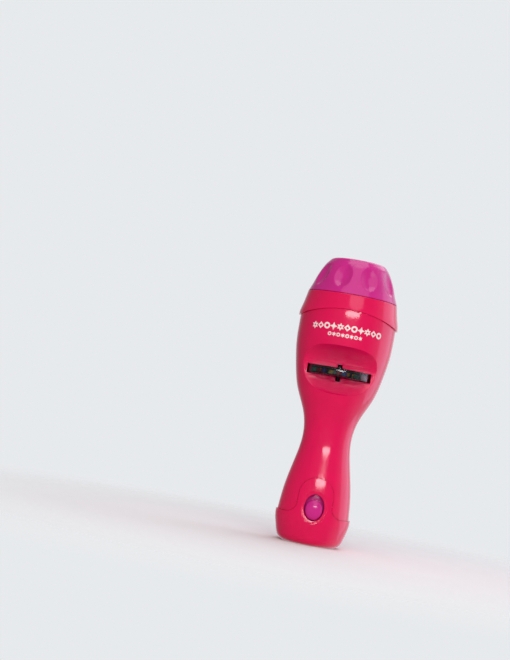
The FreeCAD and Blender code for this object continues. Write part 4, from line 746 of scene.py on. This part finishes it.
def build_cells():
    """The two power cells: a jacketed can with rolled ends and a raised pole."""
    for node, way in (("cell_left", "up"), ("cell_right", "down")):
        x, y, radius, foot, top = round_size(node)
        length = top - foot
        profile = [(0.0, 0.25), (radius - 1.3, 0.25), (radius - 1.1, 0.0), (radius - 0.25, 0.0),
                   (radius, 0.3), (radius, length - 1.5), (radius - 0.2, length - 1.15),
                   (radius - 0.9, length - 1.05), (radius - 1.2, length - 1.3),
                   (2.3, length - 1.3), (1.9, length - 1.1), (1.9, length - 0.2),
                   (1.7, length), (0.0, length)]
        corners = [(r, foot + up if way == "up" else top - up) for r, up in profile]
        bm = turned(corners, 72, (x, y))
        keep_piece(bm, node + "_can", "cell_" + way, "housing", node)


def build_springs():
    """The cell springs, wound from round wire on a smooth helix."""
    wire, steps_a_turn = 0.3, 48
    for node, turns in (("bridge_spring", 3.0), ("negative_spring", 2.5)):
        x, y, radius, foot, top = round_size(node)
        steps = int(steps_a_turn * turns)
        bm = bmesh.new()
        ring = bmesh.ops.create_circle(bm, segments=12, radius=wire * MM, cap_ends=False)["verts"]
        start = Vector((x + radius - wire, y, foot + wire)) * MM
        upright = Matrix.Rotation(math.pi / 2, 4, "X")
        bmesh.ops.transform(bm, matrix=Matrix.Translation(start) @ upright, verts=ring)
        bmesh.ops.spin(bm, geom=list(bm.verts) + list(bm.edges), cent=(x * MM, y * MM, 0),
                       axis=(0, 0, 1), dvec=(0, 0, (top - foot - 2 * wire) * MM / steps),
                       angle=FULL_TURN * turns, steps=steps)
        bmesh.ops.holes_fill(bm, edges=bm.edges, sides=0)
        bmesh.ops.recalc_face_normals(bm, faces=bm.faces)
        keep_piece(bm, node + "_wire", "nickel_contact", "housing", node)


# ---- carried-over pieces

SOFTENED = {
    # node: (material, how far its edges are broken in millimetres)
    "battery_tray": ("black_plastic", 0.2), "positive_contact": ("copper_contact", 0.06),
    "negative_contact": ("nickel_contact", 0.06), "bridge_contact": ("nickel_contact", 0.06),
    "shell_screws": ("zinc_steel", 0.12), "door_screw": ("zinc_steel", 0.12),
    "switch_frame": ("tinned_steel", 0.1),
}

CAD_FINISHES = {
    "black_plastic": ("disc_guide_lower", "disc_guide_upper", "focus_barrel", "lens_cell",
                      "lens_retainer", "mirror_tube", "switch_actuator"),
    "white_plastic": ("light_tube",), "phenolic_board": ("switch_base",),
    "mirror_strip": ("mirror_front", "mirror_left", "mirror_right"),
    "circuit_board": ("led_board",), "resistor_body": ("resistor",),
    "tinned_steel": ("led_leads", "switch_terminals"), "zinc_steel": ("switch_screws",),
    "copper_contact": ("switch_wiper",), "black_wire": ("wire_black",),
    "red_wire": ("wire_red",), "blue_wire": ("wire_blue",),
}


def soften_pieces():
    """Exact copies of pressed and moulded inner pieces with their edges broken."""
    for node, (material, radius) in SOFTENED.items():
        bm = merged_copy(node)
        break_edges(bm, radius * MM)
        body = "battery_door" if node == "door_screw" else "housing"
        keep_piece(bm, node + "_finished", material, body, node)


def finish_cad_nodes():
    """Give every CAD node that still shows its own procedural material."""
    for material, nodes in CAD_FINISHES.items():
        for node in nodes:
            for place in NODES[node].material_slots:
                place.material = MATERIALS[material]


# ---- materials

def build_materials(plastics):
    GROUPS.update(moulding=build_moulding_group(), scratches=build_scratch_group(),
                  metal=build_metal_group())
    gloss = plastics.gloss_roughness
    plastic("pink_plastic", plastics.pink, gloss, cloud=0.035, bump=0.03, scratches=0.03)
    plastic("purple_plastic", plastics.purple, gloss + 0.03, cloud=0.04, uneven=0.06, bump=0.03,
            scratches=0.03)
    plastic("knob_plastic", plastics.purple, gloss - 0.02, cloud=0.04, bump=0.03,
            distance=0.04 * MM)
    plastic("print_ink", plastics.print_ink, 0.35, cloud=0.06, uneven=0.1, bump=0.2,
            distance=0.02 * MM)
    plastic("black_plastic", (0.012, 0.012, 0.013), 0.5, cloud=0.15, uneven=0.15, bump=0.25)
    plastic("white_plastic", (0.78, 0.78, 0.75), 0.4, cloud=0.03, bump=0.15)
    plastic("phenolic_board", (0.24, 0.11, 0.05), 0.45, cloud=0.2, bump=0.2)
    # the pin is near black as a painted shade, so the notch of the slot reads dark through the
    # clear disc
    plastic("pin_dark_painted_shade", (0.016, 0.015, 0.016), 0.4, cloud=0.04)
    for wire, colour in (("black", (0.012, 0.012, 0.012)), ("red", (0.52, 0.012, 0.012)),
                         ("blue", (0.02, 0.07, 0.42))):
        plastic(wire + "_wire", colour, 0.42, cloud=0.08, uneven=0.12, bump=0.15)
    for bead, colour in (("red", (0.62, 0.012, 0.014)), ("yellow", (0.86, 0.56, 0.02)),
                         ("blue", (0.02, 0.10, 0.52)), ("green", (0.03, 0.40, 0.22))):
        plastic("bead_" + bead, colour, 0.12, cloud=0.08)
    # the grey rim colour is a painted shade that makes the disc's edge read dark in the slot
    clear("clear_styrene", (0.97, 0.985, 0.99), 0.02, 1.45, rim=(0.30, 0.31, 0.33))
    clear("clear_acrylic", (0.98, 0.99, 0.99), 0.01, 1.49, scratches=0.02)
    clear("clear_epoxy", (0.97, 0.98, 1.0), 0.03, 1.5)
    metal("zinc_steel", (0.60, 0.61, 0.62), (0.33, 0.32, 0.30), 0.32)
    metal("tinned_steel", (0.62, 0.62, 0.61), (0.35, 0.34, 0.32), 0.28)
    metal("nickel_contact", (0.64, 0.62, 0.57), (0.40, 0.36, 0.30), 0.22)
    metal("copper_contact", (0.74, 0.42, 0.24), (0.36, 0.18, 0.10), 0.26)
    metal("mirror_strip", (0.92, 0.93, 0.94), (0.80, 0.81, 0.82), 0.04, bump=0.02)
    banded("circuit_board", [(-1.0, (0.02, 0.19, 0.07)), (0.0, (0.03, 0.25, 0.10))], 1, 0.35)
    tan, brown, black, gold = ((0.55, 0.42, 0.26), (0.16, 0.05, 0.02), (0.02, 0.02, 0.02),
                               (0.60, 0.38, 0.10))
    banded("resistor_body", [(-1.0, tan), (-0.0021, brown), (-0.0015, tan), (-0.0008, black),
                             (-0.0002, tan), (0.0005, brown), (0.0011, tan), (0.0018, gold),
                             (0.0024, tan)], 1, 0.4)
    steel, jacket, cap = (0.62, 0.62, 0.60), (0.025, 0.027, 0.032), (0.62, 0.30, 0.12)
    foot, top = (corner.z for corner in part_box("cell_left"))
    cap_length, rim, pole = (top - foot) * 0.28, 0.0004, 0.0014
    banded("cell_up", [(-1.0, steel), (foot + rim, jacket), (top - cap_length, cap),
                       (top - pole, steel)], 2, 0.3, 0.35)
    banded("cell_down", [(-1.0, steel), (foot + pole, cap), (foot + cap_length, jacket),
                         (top - rim, steel)], 2, 0.3, 0.35)


# ---- stage

LAVENDER, PALE, WHITE = (0.80, 0.72, 1.0), (0.93, 0.89, 1.0), (1.0, 1.0, 1.0)
AIM = Vector((0.0, 0.0, 0.078))
LIGHTS = [
    # name, power setting, share of it, width and height, azimuth, elevation, distance, colour
    ("key_light", "key_power", 1.0, (0.46, 0.10), 7.0, 14.8, 0.75, WHITE),
    ("collar_softbox", "top_power", 0.36, (0.46, 0.20), 12.0, 30.0, 0.80, PALE),
    ("top_softbox", "top_power", 1.0, (0.85, 0.50), 6.0, 55.0, 0.80, PALE),
    ("side_softbox", "side_power", 1.0, (0.50, 0.85), 112.0, 10.0, 0.60, LAVENDER),
    ("overhead_softbox", "top_power", 1.2, (0.55, 0.45), 0.0, 84.0, 0.75, PALE),
    ("back_softbox", "top_power", 1.6, (0.7, 0.7), 160.0, 55.0, 0.85, PALE),
    ("front_fill", "fill_power", 1.0, (1.5, 1.5), -4.0, 8.0, 1.1, WHITE),
]


def area_light(name, power, size, azimuth, elevation, distance, colour):
    """An oval light aimed at the torch's middle; azimuth 0 is in front of it."""
    data = bpy.data.lights.new(name, "AREA")
    data.shape = "ELLIPSE"
    data.size, data.size_y = size
    data.energy = power
    data.color = colour
    lamp = bpy.data.objects.new(name, data)
    side, rise = math.radians(azimuth), math.radians(elevation)
    away = Vector((math.sin(side) * math.cos(rise), -math.cos(side) * math.cos(rise),
                   math.sin(rise)))
    lamp.location = AIM + away * distance
    lamp.rotation_mode = "QUATERNION"
    lamp.rotation_quaternion = away.to_track_quat("Z", "Y")
    lamp.visible_glossy = name != "front_fill"
    bpy.context.scene.collection.objects.link(lamp)


def build_floor():
    """A plain pale floor that fades into the backdrop."""
    bm = bmesh.new()
    bmesh.ops.create_circle(bm, cap_ends=True, segments=96, radius=0.9)
    mesh = bpy.data.meshes.new("floor")
    bm.to_mesh(mesh)
    bm.free()
    floor = bpy.data.objects.new("floor", mesh)
    bpy.context.scene.collection.objects.link(floor)
    floor.visible_glossy = False
    tree, shader, place = new_material("floor_paper")
    mesh.materials.append(MATERIALS["floor_paper"])
    for name, value in (("Base Color", (0.86, 0.85, 0.80, 1.0)), ("Roughness", 0.9),
                        ("Specular IOR Level", 0.1)):
        shader.inputs[name].default_value = value
    length = add_node(tree, "ShaderNodeVectorMath", operation="LENGTH")
    tree.links.new(place, length.inputs[0])
    fade = remap(tree, length.outputs["Value"], 0.05, 0.30, 1.0, 0.0)
    fade.node.interpolation_type = "SMOOTHSTEP"
    tree.links.new(fade, shader.inputs["Alpha"])


def build_world(settings):
    """An even pale backdrop for the camera, and softer light behind the torch than in front."""
    world = bpy.data.worlds.new("studio")
    bpy.context.scene.world = world
    world.use_nodes = True
    tree = world.node_tree
    tree.nodes.clear()
    output = add_node(tree, "ShaderNodeOutputWorld")
    ways = add_node(tree, "ShaderNodeTexCoord").outputs["Generated"]
    side = add_node(tree, "ShaderNodeVectorMath", operation="DOT_PRODUCT")
    side.inputs[1].default_value = (0.64, 0.77, 0.0)
    tree.links.new(ways, side.inputs[0])
    behind = remap(tree, side.outputs["Value"], 0.0, 1.0, settings.surround * 0.6,
                   settings.surround * 3.2)
    behind.node.interpolation_type = "SMOOTHSTEP"
    light = add_node(tree, "ShaderNodeBackground", {"Color": (0.93, 0.91, 1.0, 1.0)})
    tree.links.new(behind, light.inputs["Strength"])
    seen = add_node(tree, "ShaderNodeBackground", {"Color": (*settings.backdrop, 1.0)})
    ray = add_node(tree, "ShaderNodeLightPath")
    choose = add_node(tree, "ShaderNodeMixShader")
    for index, source in enumerate((ray.outputs["Is Camera Ray"], light.outputs[0],
                                    seen.outputs[0])):
        tree.links.new(source, choose.inputs[index])
    tree.links.new(choose.outputs[0], output.inputs["Surface"])


def build_camera(settings):
    """The camera: a short telephoto a little below the torch's middle, rolled to one side."""
    frame_width, frame_height = 510, 660
    across, down, grain = 333, 405, 0.547 * MM  # where the aim falls in the frame, and its scale
    sensor = 36.0
    aim = Vector((0.0, 0.0, 0.0763))
    distance, rise = settings.camera_distance, settings.camera_elevation
    focal = distance / grain
    data = bpy.data.cameras.new("camera")
    data.sensor_width = sensor
    data.lens = focal * sensor / frame_height
    data.dof.use_dof = False
    data.clip_start, data.clip_end = 0.02, 20.0
    eye = bpy.data.objects.new("camera", data)
    bpy.context.scene.collection.objects.link(eye)
    away = Vector((0.0, -math.cos(rise), math.sin(rise)))
    eye.location = aim + away * distance
    offset = Vector((across - frame_width / 2, frame_height / 2 - down, -focal)).normalized()
    level = away.to_track_quat("Z", "Y")
    roll = Matrix.Rotation(settings.camera_roll, 3, "Z").to_quaternion()
    aside = offset.rotation_difference(Vector((0, 0, -1)))
    eye.rotation_mode = "QUATERNION"
    eye.rotation_quaternion = level @ roll @ aside
    bpy.context.scene.camera = eye


def build_stage(settings):
    build_floor()
    build_world(settings)
    for name, setting, share, *place in LIGHTS:
        area_light(name, getattr(settings, setting) * share, *place)
    bpy.context.scene.view_settings.view_transform = "Standard"
    build_camera(settings)


# ---- operators

class BuildStep:
    """What every building step has in common."""
    bl_options = {"REGISTER", "UNDO"}


class KALEIDOSCOPE_OT_materials(BuildStep, bpy.types.Operator):
    """Build the node groups and the materials of every finish"""
    bl_idname = "kaleidoscope.materials"
    bl_label = "Mix the materials"

    def execute(self, context):
        build_materials(context.scene.kaleidoscope_plastics)
        return {"FINISHED"}


class KALEIDOSCOPE_OT_housing(BuildStep, bpy.types.Operator):
    """Break the edges of the shells, the foot cap and the battery door"""
    bl_idname = "kaleidoscope.housing"
    bl_label = "Finish the housing"

    def execute(self, context):
        build_housing(context.scene.kaleidoscope_plastics)
        return {"FINISHED"}


class KALEIDOSCOPE_OT_collar_ring(BuildStep, bpy.types.Operator):
    """Build the collar ring with its arched lower edge"""
    bl_idname = "kaleidoscope.collar_ring"
    bl_label = "Turn the collar ring"

    def execute(self, context):
        build_collar_ring()
        return {"FINISHED"}


class KALEIDOSCOPE_OT_focus_ring(BuildStep, bpy.types.Operator):
    """Build the focus ring and press its grip scallops"""
    bl_idname = "kaleidoscope.focus_ring"
    bl_label = "Turn the focus ring"

    def execute(self, context):
        build_focus_ring(context.scene.kaleidoscope_ring)
        return {"FINISHED"}


class KALEIDOSCOPE_OT_power_knob(BuildStep, bpy.types.Operator):
    """Build the oval slide button and its flange"""
    bl_idname = "kaleidoscope.power_knob"
    bl_label = "Mould the slide button"

    def execute(self, context):
        build_power_knob()
        return {"FINISHED"}


class KALEIDOSCOPE_OT_ornament(BuildStep, bpy.types.Operator):
    """Lay the printed flakes on the front shell"""
    bl_idname = "kaleidoscope.ornament"
    bl_label = "Print the ornament"

    def execute(self, context):
        build_ornament()
        return {"FINISHED"}


class KALEIDOSCOPE_OT_switch_marks(BuildStep, bpy.types.Operator):
    """Raise the on and off marks beside the slide button"""
    bl_idname = "kaleidoscope.switch_marks"
    bl_label = "Raise the switch marks"

    def execute(self, context):
        build_switch_marks()
        return {"FINISHED"}


class KALEIDOSCOPE_OT_capsule(BuildStep, bpy.types.Operator):
    """Build the clear capsule, its lid and its pin"""
    bl_idname = "kaleidoscope.capsule"
    bl_label = "Turn the bead capsule"

    def execute(self, context):
        build_capsule()
        return {"FINISHED"}


class KALEIDOSCOPE_OT_beads(BuildStep, bpy.types.Operator):
    """Build the loose beads colour by colour"""
    bl_idname = "kaleidoscope.beads"
    bl_label = "Cast the beads"

    def execute(self, context):
        build_beads()
        return {"FINISHED"}


class KALEIDOSCOPE_OT_lenses(BuildStep, bpy.types.Operator):
    """Build the projection lens and the condenser"""
    bl_idname = "kaleidoscope.lenses"
    bl_label = "Grind the lenses"

    def execute(self, context):
        build_lenses()
        return {"FINISHED"}


class KALEIDOSCOPE_OT_lamp(BuildStep, bpy.types.Operator):
    """Build the lamp and its chip cup"""
    bl_idname = "kaleidoscope.lamp"
    bl_label = "Fit the lamp"

    def execute(self, context):
        build_lamp()
        return {"FINISHED"}


class KALEIDOSCOPE_OT_cells(BuildStep, bpy.types.Operator):
    """Build the cells and wind their springs"""
    bl_idname = "kaleidoscope.cells"
    bl_label = "Fit the power cells"

    def execute(self, context):
        build_cells()
        build_springs()
        return {"FINISHED"}


class KALEIDOSCOPE_OT_inside(BuildStep, bpy.types.Operator):
    """Break the edges of inner pieces and paint the rest of the frame"""
    bl_idname = "kaleidoscope.inside"
    bl_label = "Finish the inside"

    def execute(self, context):
        soften_pieces()
        finish_cad_nodes()
        return {"FINISHED"}


class KALEIDOSCOPE_OT_stage(BuildStep, bpy.types.Operator):
    """Lay the floor and place the lights and the camera"""
    bl_idname = "kaleidoscope.stage"
    bl_label = "Set the stage"

    def execute(self, context):
        build_stage(context.scene.kaleidoscope_studio)
        return {"FINISHED"}


BUILDERS = BuildStep.__subclasses__()  # in the order of the steps above


class KALEIDOSCOPE_PT_build(bpy.types.Panel):
    """Lists the settings and the building steps"""
    bl_idname = "KALEIDOSCOPE_PT_build"
    bl_label = "Kaleidoscope Projector"
    bl_space_type = "VIEW_3D"
    bl_region_type = "UI"
    bl_category = "Kaleidoscope"

    def draw(self, context):
        scene = context.scene
        for settings in (scene.kaleidoscope_plastics, scene.kaleidoscope_ring,
                         scene.kaleidoscope_studio):
            box = self.layout.box()
            for name in settings.__annotations__:
                box.prop(settings, name)
        column = self.layout.column(align=True)
        for builder in BUILDERS:
            column.operator(builder.bl_idname)


SETTINGS = {
    "kaleidoscope_plastics": PlasticSettings,
    "kaleidoscope_ring": RingSettings,
    "kaleidoscope_studio": StudioSettings,
}
CLASSES = [*SETTINGS.values(), *BUILDERS, KALEIDOSCOPE_PT_build]


def register():
    for item in CLASSES:
        bpy.utils.register_class(item)
    for name, group in SETTINGS.items():
        setattr(bpy.types.Scene, name, PointerProperty(type=group))


def unregister():
    for name in SETTINGS:
        delattr(bpy.types.Scene, name)
    for item in reversed(CLASSES):
        bpy.utils.unregister_class(item)


def main():
    register()
    for builder in BUILDERS:
        step = builder.bl_idname.split(".")[1]
        getattr(bpy.ops.kaleidoscope, step)()


if __name__ == "__main__":
    main()
